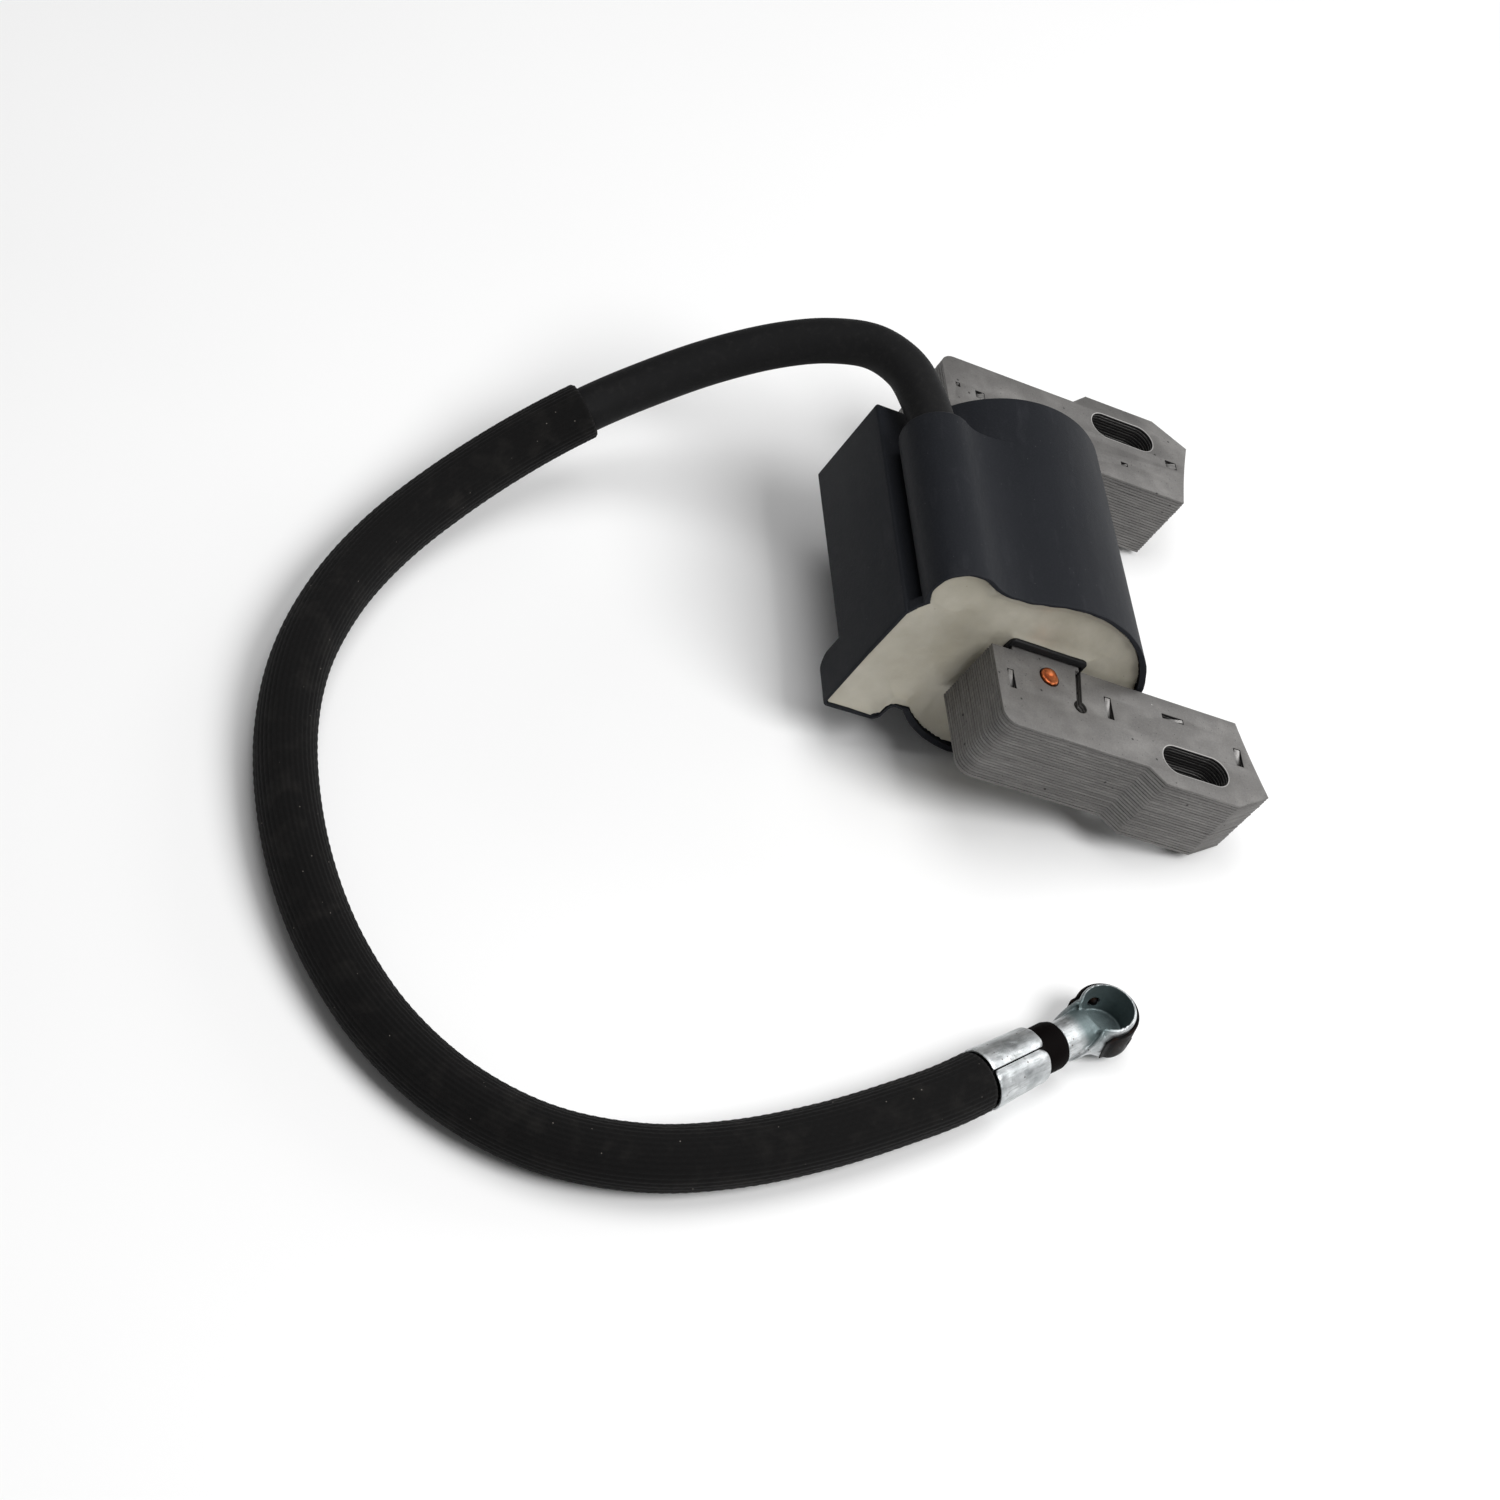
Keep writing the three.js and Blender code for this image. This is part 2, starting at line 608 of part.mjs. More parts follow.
const ignitionCoil = new THREE.Group();
const coil = buildCoil();
layDown(coil);
ignitionCoil.add(coil, buildLead(), buildTerminal());

export default ignitionCoil;
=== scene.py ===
"""The looks of a small-engine ignition coil with its spark-plug lead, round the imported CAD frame.

The frame is in metres, +Z up. Outlines are written in millimetres. Pieces of the coil are drawn in
core coordinates: X from the legs' backs to their tips, Y from leg to leg, Z through the stack of
sheets. CORE then lays them down as the coil rests. The lead is drawn where it lies, and the plug
terminal along the lead's last direction, from the end of the rubber.
"""

import math
import random

import bmesh
import bpy
import numpy as np
from mathutils import Matrix, Vector, noise
from mathutils.geometry import tessellate_polygon


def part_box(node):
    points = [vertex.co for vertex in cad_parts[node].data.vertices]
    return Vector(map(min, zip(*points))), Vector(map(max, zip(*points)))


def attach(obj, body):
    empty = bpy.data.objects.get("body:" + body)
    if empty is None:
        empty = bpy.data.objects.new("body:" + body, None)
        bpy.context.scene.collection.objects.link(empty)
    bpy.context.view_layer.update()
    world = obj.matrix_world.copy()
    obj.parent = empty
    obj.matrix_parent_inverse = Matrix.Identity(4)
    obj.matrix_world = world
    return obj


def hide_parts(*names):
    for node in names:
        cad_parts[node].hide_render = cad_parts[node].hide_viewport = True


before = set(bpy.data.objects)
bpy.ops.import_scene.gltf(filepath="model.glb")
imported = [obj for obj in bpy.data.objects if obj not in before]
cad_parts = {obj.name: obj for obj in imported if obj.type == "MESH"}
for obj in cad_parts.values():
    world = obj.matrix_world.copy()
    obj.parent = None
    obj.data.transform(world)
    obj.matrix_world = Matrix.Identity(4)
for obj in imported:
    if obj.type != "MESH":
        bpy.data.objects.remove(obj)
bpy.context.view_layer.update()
MM = 0.001

# ---- driving dimensions, in millimetres ----

STACK = 12.7
SHEETS = 24
SHEET_GAP = 0.06
SHEET_EDGE, OUTER_SHEET_EDGE = 0.09, 0.12
SHEET_SHIFT_X, SHEET_SHIFT_Y = 0.018, 0.015
LEG_TIP = 46.8
LEG_INNER = 22.14
LEG_BACK_OUTER = 36.4
LEG_FRONT_OUTER = 38.7
STEP_START, STEP_END = 24.9, 27.7
CHAMFER_START, CHAMFER_OUTER = 40.7, 35.1
POLE_RADIUS = 119
BACK_ROUNDING = 2.45
LIMB_BACK, LIMB_FRONT = 3.5, 15.2
SLOT_X, SLOT_Y, SLOT_LENGTH, SLOT_WIDTH = 33.86, 33.42, 11.6, 5.0
SLIT_X, SLIT_WIDTH, SLIT_END, SLIT_HOLE, SLIT_LEAN = 14.95, 0.9, 29.1, 1.1, -0.8
PIN_X, PIN_Y, PIN_HOLE, PIN_DEPTH = 9.4, -25.2, 1.65, 5

# Stakes that hold the sheets together: middle, half length, half width, and whether they lie along X.
STAKES = [
    (2.5, -27.8, 1.7, 0.5, False),
    (19.5, -27.5, 2.0, 0.55, False),
    (31.3, -25.5, 1.9, 0.42, True),
    (42.6, -29.0, 1.6, 0.62, False),
    (6.3, 29.8, 0.8, 0.7, True),
    (2.3, 30.4, 0.4, 0.35, False),
    (19.9, 27.8, 1.4, 0.45, False),
    (32.8, 26.1, 0.6, 0.35, True),
    (42.6, 29.9, 1.0, 0.7, True),
]
STAKED_SHEETS = 3
TONGUE_GAP, TONGUE_FLAT, TONGUE_DROP = 0.13, 0.25, 1.15
TONGUE_THICK, TONGUE_PROUD = 0.5, 0.02

WALL = 1.5
BARREL_X, BARREL_Z, BARREL_RADIUS = 9.35, 6.35, 17.5
OPEN_END, FAR_END = -21.8, 19
BOX_LEFT, BOX_LOW, BOX_HIGH = -14.3, -3.7, 13.2
COLLAR_LOW, COLLAR_RIGHT, COLLAR_WEB, COLLAR_BACK, COLLAR_ROUND = -9.5, -5.5, -5.8, -13.7, 2.6
GROOVE_END, GROOVE_FLOOR = 1.6, 0.3
RIM, RIM_SHIFT, RIM_FOOT, RIM_DEPTH = 0.85, 0.38, 0.42, 1.15
HOLLOW_DEPTH = 0.6
MOULD_EDGE, COLLAR_EDGE = 0.45, 0.3
SKIRT, SKIRT_EDGE = 2, 0.1
FLARE, FLARE_CORE, FLARE_FULL, BOX_DRAFT = 1.0, 15.2, 15.8, 0.5
FLARE_FROM, FLARE_UNTIL = (-65, -20), (50, 100)
DRAFT_FROM, DRAFT_UNTIL = (11.8, 12.8), (13.5, 16.5)
RIM_WANDER, RIM_SEED = (0.16, 0.28, 0.16), 24
TOWER_X, TOWER_Z, TOWER_RADIUS, TOWER_BORE = -8.7, 18.3, 5.3, 3.8
TOWER_MOUTH, TOWER_FLOOR = 10, -10

POTTING_FACE, POTTING_END = -21, 17
WALL_CREEP, TUBE_CREEP, CREEP_REACH = 0.62, 0.4, 0.8
SAG, SAG_X, SAG_Z, SAG_REACH_X, SAG_REACH_Z = 0.55, -1, 8, 5, 6
COIL_ROOM, COIL_ROOM_START = 15.1, -17.6
BOARD_ROOM, BOARD_ROOM_START = (-9.3, 4.75, 2.9, 6.35), -12.5
TAIL_ROOM, TAIL_ROOM_START, CONTACT_ROOM = 0.8, -15, 4.6
TUBE_INNER, TUBE_OUTER = (6.15, 6.65), (6.6, 7.85)
TUBE_START, TUBE_END = -21.75, 18.7
CHEEK, CHEEK_STARTS = (9.45, 9.95), (-17.2, 15.4)

LEAD_RADIUS, LEAD_BORE = 3.5, 1.2
LEAD_PLAY, LEAD_SQUEEZE = 0.06, 0.1
LEAD_STEP, LEAD_SIDES, SPAN_STEPS = 0.8, 40, 24
SLEEVE_RADIUS, SLEEVE_BORE, SLEEVE_START = 4.45, 3.95, 84.7
SLEEVE_PLAY, SLEEVE_STEP, YARN_SIDES = 0.16, 0.42, 4
YARNS_ROUND, YARN_PITCH, YARN_CROWN, YARN_DIP = 36, 1.5, 0.1, 0.07
LEAD_AXIS = 4.6
LEAD_END = (-4.1, -75.2, LEAD_AXIS)
TERMINAL_TURN = math.radians(30)
CRIMP_FROM, CRIMP_TO, CRIMP_OUTER = -13.25, -4, 4.4
CRIMP_TAPER, CRIMP_FLARE, CRIMP_RIM = 0.075, 0.12, 0.16
CRIMP_SIDES, CRIMP_STEPS = 132, 40
SEAM_TURN, SEAM_HALF = math.radians(107), math.radians(1.7)
SEAM_DIP, SEAM_DIP_REACH = 0.34, 0.16
# Rounding of the crimp's corners, length and width, on the seam's two sides.
START_CORNERS, END_CORNERS = [(0.7, 0.3), (0.3, 0.2)], [(1.3, 0.5), (0.5, 0.25)]
SHEET = 0.5
CUP_X, CUP_RADIUS, CUP_LOW, CUP_HIGH = 9, 4.15, -3.4, 3
NECK_START, NECK_RADIUS, NECK_BORE = 0.3, 2.8, 2.3
NIB_TURN, NIB_HEIGHT = math.radians(68), -0.9
BAND_OPENING, BAND_HALF_HIGH, BAND_MIDDLE = math.radians(52), 2.45, -0.35
BAND_GAP, BAND_BOW = 0.33, 0.12

# Dents in the crimp: place along the lead, turn in degrees, radius and depth.
DENTS = [
    (-11.9, 132, 0.7, 0.1),
    (-10.2, 168, 0.5, 0.14),
    (-8.9, 190, 0.6, 0.12),
    (-7.1, 158, 0.45, 0.14),
    (-5.6, 200, 0.5, 0.1),
    (-11.2, 88, 0.5, 0.12),
    (-8.2, 76, 0.6, 0.1),
    (-6.0, 94, 0.4, 0.12),
    (-9.4, 300, 0.7, 0.12),
]

# The neck's widening towards the cup: radius and place along the lead.
NECK_FLARE = [(3.0, 0.3), (3.1, 2), (3.3, 3.8), (3.6, 5), (3.95, 6.2), (4.05, 7.6)]

REST_TILT = math.asin(BARREL_RADIUS / math.hypot(LEG_TIP - BARREL_X, BARREL_Z)) - math.atan2(
    BARREL_Z, LEG_TIP - BARREL_X
)
CORE_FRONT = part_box("core_laminations")[1][0]
CORE = Matrix.Translation(
    (
        CORE_FRONT - (LEG_TIP * math.cos(REST_TILT) + STACK * math.sin(REST_TILT)) * MM,
        0,
        LEG_TIP * math.sin(REST_TILT) * MM,
    )
) @ Matrix.Rotation(REST_TILT, 4, "Y")


def shifted(*place):
    """The matrix that moves to a place in millimetres."""
    return Matrix.Translation(Vector(place) * MM)


TERMINAL = shifted(*LEAD_END) @ Matrix.Rotation(TERMINAL_TURN, 4, "Z")

# The lead's middle line, from inside the tower to the end of its rubber, in metres.
ROUTE = [
    (-0.0184, -0.0083, 0.0344),
    (-0.0184, 0.0025, 0.0344),
    (-0.0184, 0.0115, 0.0344),
    (-0.0193, 0.018, 0.0344),
    (-0.021, 0.0238, 0.0341),
    (-0.025, 0.029, 0.0329),
    (-0.031, 0.0318, 0.0306),
    (-0.038, 0.033, 0.0275),
    (-0.047, 0.033, 0.023),
    (-0.056, 0.0318, 0.0182),
    (-0.065, 0.0293, 0.0138),
    (-0.076, 0.024, 0.0091),
    (-0.086, 0.0165, 0.0061),
    (-0.095, 0.007, 0.0046),
    (-0.102, -0.004, 0.0046),
    (-0.1068, -0.016, 0.0046),
    (-0.109, -0.029, 0.0046),
    (-0.1088, -0.042, 0.0046),
    (-0.1066, -0.055, 0.0046),
    (-0.1025, -0.0673, 0.0046),
    (-0.0962, -0.0785, 0.0046),
    (-0.087, -0.088, 0.0046),
    (-0.076, -0.0942, 0.0046),
    (-0.0635, -0.0964, 0.0046),
    (-0.0508, -0.0952, 0.0046),
    (-0.0382, -0.0918, 0.0046),
    (-0.0263, -0.0871, 0.0046),
    (-0.0205, -0.0845, 0.0046),
    (-0.0145, -0.0812, 0.0046),
    (-0.0041, -0.0752, 0.0046),
]

# ---- camera, lights and floor ----

CAMERA_AT = (-0.1507, -0.3206, 0.3602)
CAMERA_AIM = (-0.0458, -0.0356, 0.015)
CAMERA_ROLL = math.radians(19.6)
CAMERA_LENS, CAMERA_FILM, CAMERA_NEAR = 79.15, 36, 0.01

# Each light's name, place, aim and size in metres, and power in watts.
LIGHTS = [
    ("key", (0.3, -0.36, 0.62), (-0.01, -0.02, 0.015), 0.42, 4.7),
    ("top", (-0.02, 0.12, 0.8), (-0.04, -0.02, 0), 0.6, 2.9),
    ("side", (0.65, 0.28, 0.26), (0, 0, 0.02), 0.5, 1.7),
]
WORLD_LIGHT = 0.18
FLOOR_HALF = 1500


def new_object(name, data, place=None):
    made = bpy.data.objects.new(name, data)
    bpy.context.scene.collection.objects.link(made)
    if place:
        made.matrix_world = place
    return made


def aimed(place, aim):
    """The matrix that stands at a place in metres and looks at the aim along its own -Z."""
    turn = (Vector(aim) - Vector(place)).to_track_quat("-Z", "Y").to_matrix().to_4x4()
    return Matrix.Translation(place) @ turn


def add_camera():
    data = bpy.data.cameras.new("camera")
    data.lens = CAMERA_LENS
    data.sensor_width = CAMERA_FILM
    data.clip_start = CAMERA_NEAR
    place = aimed(CAMERA_AT, CAMERA_AIM) @ Matrix.Rotation(CAMERA_ROLL, 4, "Z")
    bpy.context.scene.camera = new_object("camera", data, place)


add_camera()

# ---- outlines: lists of points in millimetres ----


def arc(x, y, radius, start, end, count):
    """Points on an arc between two angles in degrees, both ends included."""
    angles = [math.radians(start + (end - start) * step / count) for step in range(count + 1)]
    return [(x + radius * math.cos(a), y + radius * math.sin(a)) for a in angles]


def circle(x, y, radius, count):
    return arc(x, y, radius, 0, 360, count)[:-1]


def rounded(corners, count):
    """A closed outline whose corners (x, y, rounding) are filleted."""
    points = []
    for index, (x, y, radius) in enumerate(corners):
        here = Vector((x, y))
        if radius == 0:
            points.append((x, y))
            continue
        back = (Vector(corners[index - 1][:2]) - here).normalized()
        on = (Vector(corners[(index + 1) % len(corners)][:2]) - here).normalized()
        half = back.angle(on) / 2
        reach = radius / math.tan(half)
        centre = here + (back + on).normalized() * (radius / math.sin(half))
        first = here + back * reach - centre
        last = here + on * reach - centre
        sweep = first.angle_signed(last)
        for step in range(count + 1):
            turn = Matrix.Rotation(-sweep * step / count, 2)
            points.append(tuple(centre + turn @ first))
    return points


def block(x, y, half_x, half_y, rounding, count=5):
    """A rectangle about a point, with rounded corners."""
    signs = [(1, 1), (-1, 1), (-1, -1), (1, -1)]
    return rounded([(x + a * half_x, y + b * half_y, rounding) for a, b in signs], count)


def wound(loop, leftwards):
    """The loop turned so that its inside is on its left, or on its right for a hole."""
    area = sum(a[0] * b[1] - b[0] * a[1] for a, b in zip(loop, loop[1:] + loop[:1]))
    return loop if (area > 0) == leftwards else loop[::-1]


def moved_in(loop, amount):
    """The loop moved into the material on its left."""
    points = np.array(loop)
    step = np.roll(points, -1, axis=0) - points
    step /= np.linalg.norm(step, axis=1, keepdims=True)
    after = np.column_stack([-step[:, 1], step[:, 0]])
    before = np.roll(after, 1, axis=0)
    mitre = (before + after) / (1 + (before * after).sum(axis=1, keepdims=True))
    return points + mitre * amount


# ---- mesh helpers ----


def ring_faces(rings, sides, start=0):
    """Quads between rings of points that follow one another from that start."""
    faces = []
    for ring in range(rings - 1):
        for i in range(sides):
            a, b = (start + ring * sides + k for k in (i, (i + 1) % sides))
            faces.append((a, b, b + sides, a + sides))
    return faces


def end_faces(rings, sides):
    """The first and the last ring, closed with a face each."""
    return [tuple(range(first, first + sides)) for first in (0, (rings - 1) * sides)]


def mesh_object(name, points, faces, place=None):
    """A new object from points in millimetres, faces turned outwards."""
    mesh = bpy.data.meshes.new(name)
    mesh.from_pydata([Vector(p) * MM for p in points], [], faces)
    turned = bmesh.new()
    turned.from_mesh(mesh)
    bmesh.ops.recalc_face_normals(turned, faces=turned.faces)
    turned.to_mesh(mesh)
    turned.free()
    return new_object(name, mesh, place)


def prism(name, loops, low, high, edge=0.0, along="Z", place=None, steps=2):
    """A plate or bar: the first loop is its outside, the others are holes, edge rounds its rims."""
    loops = [wound(loop, index == 0) for index, loop in enumerate(loops)]
    levels = [(0, low), (0, high)]
    if edge:
        turns = [math.pi / 2 * step / steps for step in range(steps + 1)]
        rims = [(edge * (1 - math.sin(a)), edge * (1 - math.cos(a))) for a in turns]
        levels = [(inset, low + rise) for inset, rise in rims]
        levels += [(inset, high - rise) for inset, rise in reversed(rims)]
    points, faces, owners = [], [], []
    for loop in loops:
        start, size = len(points), len(loop)
        owners += [(start + i, size) for i in range(size)]
        for inset, height in levels:
            points += [(x, y, height) for x, y in moved_in(loop, inset)]
        faces += ring_faces(len(levels), size, start)
    for level in (0, len(levels) - 1):
        flat = [[Vector((x, y, 0)) for x, y in moved_in(loop, levels[level][0])] for loop in loops]
        for triangle in tessellate_polygon(flat):
            faces.append(tuple(owners[k][0] + level * owners[k][1] for k in triangle))
    if along == "Y":
        points = [(x, -height, y) for x, y, height in points]
    elif along == "X":
        points = [(height, x, y) for x, y, height in points]
    return mesh_object(name, points, faces, place)


def bar_y(name, loops, y_low, y_high, edge=0.0, place=None, steps=2):
    """A prism along Y, its loops drawn in X and Z."""
    return prism(name, loops, -y_high, -y_low, edge, "Y", place, steps)


def turned_piece(name, profile, sides, place):
    """A piece turned about Z: pairs of radius and height, from the axis back to the axis."""
    points = [(0, 0, profile[0][1]), (0, 0, profile[-1][1])]
    for radius, height in profile[1:-1]:
        points += [(x, y, height) for x, y in circle(0, 0, radius, sides)]
    faces = ring_faces(len(profile) - 2, sides, 2)
    for pole, first in ((0, 2), (1, len(points) - sides)):
        faces += [(pole, first + i, first + (i + 1) % sides) for i in range(sides)]
    return mesh_object(name, points, faces, place)


def applied(piece):
    """Turns the piece's modifiers into mesh."""
    evaluated = piece.evaluated_get(bpy.context.evaluated_depsgraph_get())
    mesh = bpy.data.meshes.new_from_object(evaluated)
    piece.modifiers.clear()
    piece.data = mesh
    return piece


def combine(piece, others, operation):
    """Joins others to the piece, or cuts them from it, and removes them."""
    for other in others:
        step = piece.modifiers.new("combine", "BOOLEAN")
        step.operation = operation
        step.solver = "MANIFOLD"
        step.object = other
    applied(piece)
    for other in others:
        bpy.data.objects.remove(other)
    return piece


def join(piece, *others):
    return combine(piece, others, "UNION")


def cut(piece, *others):
    return combine(piece, others, "DIFFERENCE")


def remeshed(piece, voxel, smoothing):
    """An even skin over the piece, its creases softened."""
    step = piece.modifiers.new("skin", "REMESH")
    step.mode = "VOXEL"
    step.voxel_size = voxel * MM
    soften = piece.modifiers.new("soften", "SMOOTH")
    soften.factor = 0.5
    soften.iterations = smoothing
    return applied(piece)


def finish_piece(piece, sharp, look, node):
    """Smooths up to that angle, sets the material, puts the piece under the root body and hides the CAD node
    that it stands for.
    """
    piece.data.shade_smooth()
    piece.data.set_sharp_from_angle(angle=math.radians(sharp))
    piece.data.materials.clear()
    piece.data.materials.append(look)
    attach(piece, "root")
    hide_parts(node)


# ---- materials ----

# Noise stays mostly between low and high. A distance ramp spans that many millimetres.
NOISE_LOW, NOISE_HIGH, NOISE_ROUGHNESS = 0.3, 0.7, 0.55
RAMP_SPAN = 10
# A wave texture of that scale has bands about one unit apart.
WAVE_SCALE, WIRE_PITCH = 0.32, 0.2


class Surface:
    """A Principled material with short ways to wire procedural textures; sizes in millimetres."""

    def __init__(self, name, **sockets):
        self.material = bpy.data.materials.new(name)
        self.material.use_nodes = True
        self.tree = self.material.node_tree
        self.shader = self.tree.nodes["Principled BSDF"]
        self.place = self.tree.nodes.new("ShaderNodeTexCoord").outputs["Object"]
        self.set(**sockets)

    def add(self, kind, settings=None, **inputs):
        made = self.tree.nodes.new(kind)
        for key, value in (settings or {}).items():
            setattr(made, key, value)
        for key, value in inputs.items():
            self.feed(made.inputs[key], value)
        return made

    def feed(self, socket, value):
        if isinstance(value, bpy.types.NodeSocket):
            self.tree.links.new(value, socket)
        else:
            socket.default_value = value

    def set(self, **sockets):
        """Feeds the shader's own sockets, written with _ for a space."""
        for name, value in sockets.items():
            self.feed(self.shader.inputs[name.replace("_", " ")], value)

    def noise(self, size, detail=3.0, stretch=None):
        place = self.place
        if stretch:
            place = self.add("ShaderNodeMapping", Vector=place, Scale=stretch).outputs["Vector"]
        lumps = {"Scale": 1 / (size * MM), "Detail": detail, "Roughness": NOISE_ROUGHNESS}
        return self.add("ShaderNodeTexNoise", Vector=place, **lumps).outputs["Fac"]

    def cells(self, size):
        made = self.add("ShaderNodeTexVoronoi", Vector=self.place, Scale=1 / (size * MM))
        return made.outputs["Distance"]

    def ramp(self, value, *stops):
        """Stops are pairs of place and colour or grey."""
        made = self.add("ShaderNodeValToRGB", Fac=value)
        elements = made.color_ramp.elements
        while len(elements) < len(stops):
            elements.new(0.5)
        for element, (place, colour) in zip(elements, stops):
            grey = isinstance(colour, (int, float))
            element.position = place
            element.color = (colour, colour, colour, 1) if grey else (*colour, 1)
        return made.outputs["Color"]

    def mix(self, factor, a, b):
        """Colours mixed: the node keeps them in its inputs 6 and 7 and its output 2."""
        made = self.add("ShaderNodeMix", {"data_type": "RGBA"})
        self.feed(made.inputs[0], factor)
        for socket, value in ((made.inputs[6], a), (made.inputs[7], b)):
            self.feed(socket, value if isinstance(value, bpy.types.NodeSocket) else (*value, 1))
        return made.outputs[2]

    def over(self, below, colour, value, start, end, most):
        """The colour laid over what is below: none of it at start, and that share of it at end."""
        return self.mix(self.ramp(value, (start, 0.0), (end, most)), below, colour)

    def spots(self, below, colour, spacing, core, edge, most):
        """Small spots of the colour, one in each cell; core and edge are shares of the spacing."""
        return self.mix(self.ramp(self.cells(spacing), (core, most), (edge, 0.0)), below, colour)

    def vector_math(self, operation, a, b=(0, 0, 0)):
        made = self.add("ShaderNodeVectorMath", {"operation": operation})
        self.feed(made.inputs[0], a)
        self.feed(made.inputs[1], b)
        return made.outputs["Value" if operation == "LENGTH" else "Vector"]

    def within(self, reach, centre, half=(0, 0, 0), keep=(1, 1, 0), soft=0.06):
        """1 up to that reach from a box about the centre, measured along the axes that keep gives as 1."""
        off = self.vector_math("SUBTRACT", self.place, [value * MM for value in centre])
        off = self.vector_math("SUBTRACT", self.vector_math("ABSOLUTE", off), [value * MM for value in half])
        past = self.vector_math("MAXIMUM", off)
        scaled = self.vector_math("MULTIPLY", past, [axis / (RAMP_SPAN * MM) for axis in keep])
        length = self.vector_math("LENGTH", scaled)
        return self.ramp(length, (reach / RAMP_SPAN, 1.0), ((reach + soft) / RAMP_SPAN, 0.0))

    def sum(self, a, b, share):
        """a with that share of b added."""
        made = self.add("ShaderNodeMath", {"operation": "MULTIPLY_ADD"})
        for socket, value in zip(made.inputs, (b, share, a)):
            self.feed(socket, value)
        return made.outputs["Value"]

    def colour(self, value):
        self.set(Base_Color=value)

    def rough(self, value, low, high):
        self.set(Roughness=self.ramp(value, (NOISE_LOW, low), (NOISE_HIGH, high)))

    def bump(self, height, depth):
        made = self.add("ShaderNodeBump", Height=height, Distance=depth * MM)
        self.set(Normal=made.outputs["Normal"])


def stake_sides(stake):
    *_, half_length, half_width, lengthwise = stake
    return (half_length, half_width) if lengthwise else (half_width, half_length)


def sheet_steel():
    """Punched silicon steel under a thin clear varnish: grey mottling, specks and fine scratches; painted
    highlights round the slots and painted shade on the slot and stake-hole walls.
    """
    look = Surface("sheet_steel", Metallic=0.55)
    mottle = look.noise(2.6, 4)
    grain = look.noise(0.28, 4, (1, 1, 0.35))
    drag = look.noise(0.5, 3, (0.12, 0.12, 1))
    layers = look.noise(0.55, 2, (0.02, 0.02, 1))
    tone = look.mix(mottle, (0.145, 0.14, 0.135), (0.196, 0.19, 0.184))
    tone = look.over(tone, (0.11, 0.106, 0.102), grain, 0.35, 0.75, 0.5)
    tone = look.over(tone, (0.3, 0.292, 0.28), drag, 0.45, 0.7, 0.35)
    tone = look.over(tone, (0.09, 0.087, 0.084), layers, 0.45, 0.65, 0.45)
    tone = look.spots(tone, (0.03, 0.028, 0.026), 0.9, 0.06, 0.13, 0.7)
    tone = look.spots(tone, (0.014, 0.013, 0.012), 3.4, 0.045, 0.075, 0.85)
    tone = look.spots(tone, (0.5, 0.49, 0.47), 4.7, 0.02, 0.04, 0.8)
    # Painted light at each slot: the thin bright ring on the face next to the cut edge is a painted
    # highlight, and the dark slot walls are painted shade.
    slot_half = ((SLOT_LENGTH - SLOT_WIDTH) / 2, 0, 0)
    for side in (1, -1):
        for past_wall, shade in ((0.16, (0.42, 0.41, 0.4)), (0.03, (0.018, 0.017, 0.017))):
            rim = look.within(SLOT_WIDTH / 2 + past_wall, (SLOT_X, side * SLOT_Y, 0), slot_half)
            tone = look.mix(rim, tone, shade)
    # Painted shade: the walls of the stake holes are darkened.
    for stake in STAKES:
        wall = look.within(0.03, (stake[0], stake[1], 0), (*stake_sides(stake), 0), soft=0.04)
        tone = look.mix(wall, tone, (0.014, 0.013, 0.013))
    look.colour(tone)
    look.rough(look.sum(grain, mottle, 0.4), 0.42, 0.62)
    look.bump(look.sum(grain, drag, 0.5), 0.02)
    return look.material


def pressed_steel():
    """Sheet torn and bent down by the staking punch: bare and bright on its crown, near-black below it as
    painted shade deep in the stake hole.
    """
    look = Surface("pressed_steel", Metallic=0.75)
    torn = look.noise(0.5, 3)
    crown = look.within(0.3, (0, 0, STACK), keep=(0, 0, 1), soft=0.5)
    bare = look.mix(torn, (0.16, 0.155, 0.15), (0.42, 0.41, 0.4))
    # Below the crown the colour is near-black: painted shade where the tongue drops into its hole.
    look.colour(look.mix(crown, (0.03, 0.029, 0.028), bare))
    look.rough(torn, 0.3, 0.5)
    look.bump(torn, 0.05)
    return look.material


def copper():
    look = Surface("copper", Metallic=1.0)
    blotch = look.noise(0.8, 4)
    fine = look.noise(0.15, 3)
    stops = [(0.3, (0.25, 0.05, 0.02)), (0.55, (0.6, 0.17, 0.06)), (0.8, (0.8, 0.33, 0.15))]
    look.colour(look.ramp(blotch, *stops))
    look.rough(fine, 0.28, 0.5)
    look.bump(look.sum(blotch, fine, 0.5), 0.06)
    return look.material


def housing_plastic():
    """Dark glass-filled moulding: charcoal with a trace of blue, matte grain, dust and rubbed spots."""
    look = Surface("housing_plastic", Specular_IOR_Level=0.2)
    grain = look.noise(0.22, 4)
    rub = look.noise(2.2, 4, (1, 0.25, 1))
    tone = look.mix(look.noise(9, 3), (0.0045, 0.0056, 0.0082), (0.0085, 0.0098, 0.0132))
    tone = look.over(tone, (0.019, 0.02, 0.025), grain, 0.4, 0.75, 0.35)
    tone = look.over(tone, (0.028, 0.029, 0.034), rub, 0.58, 0.75, 0.3)
    look.colour(look.spots(tone, (0.2, 0.2, 0.2), 1.5, 0.02, 0.05, 0.35))
    look.rough(look.sum(grain, rub, 0.5), 0.5, 0.68)
    look.bump(look.sum(grain, look.noise(0.9, 2), 0.8), 0.03)
    return look.material


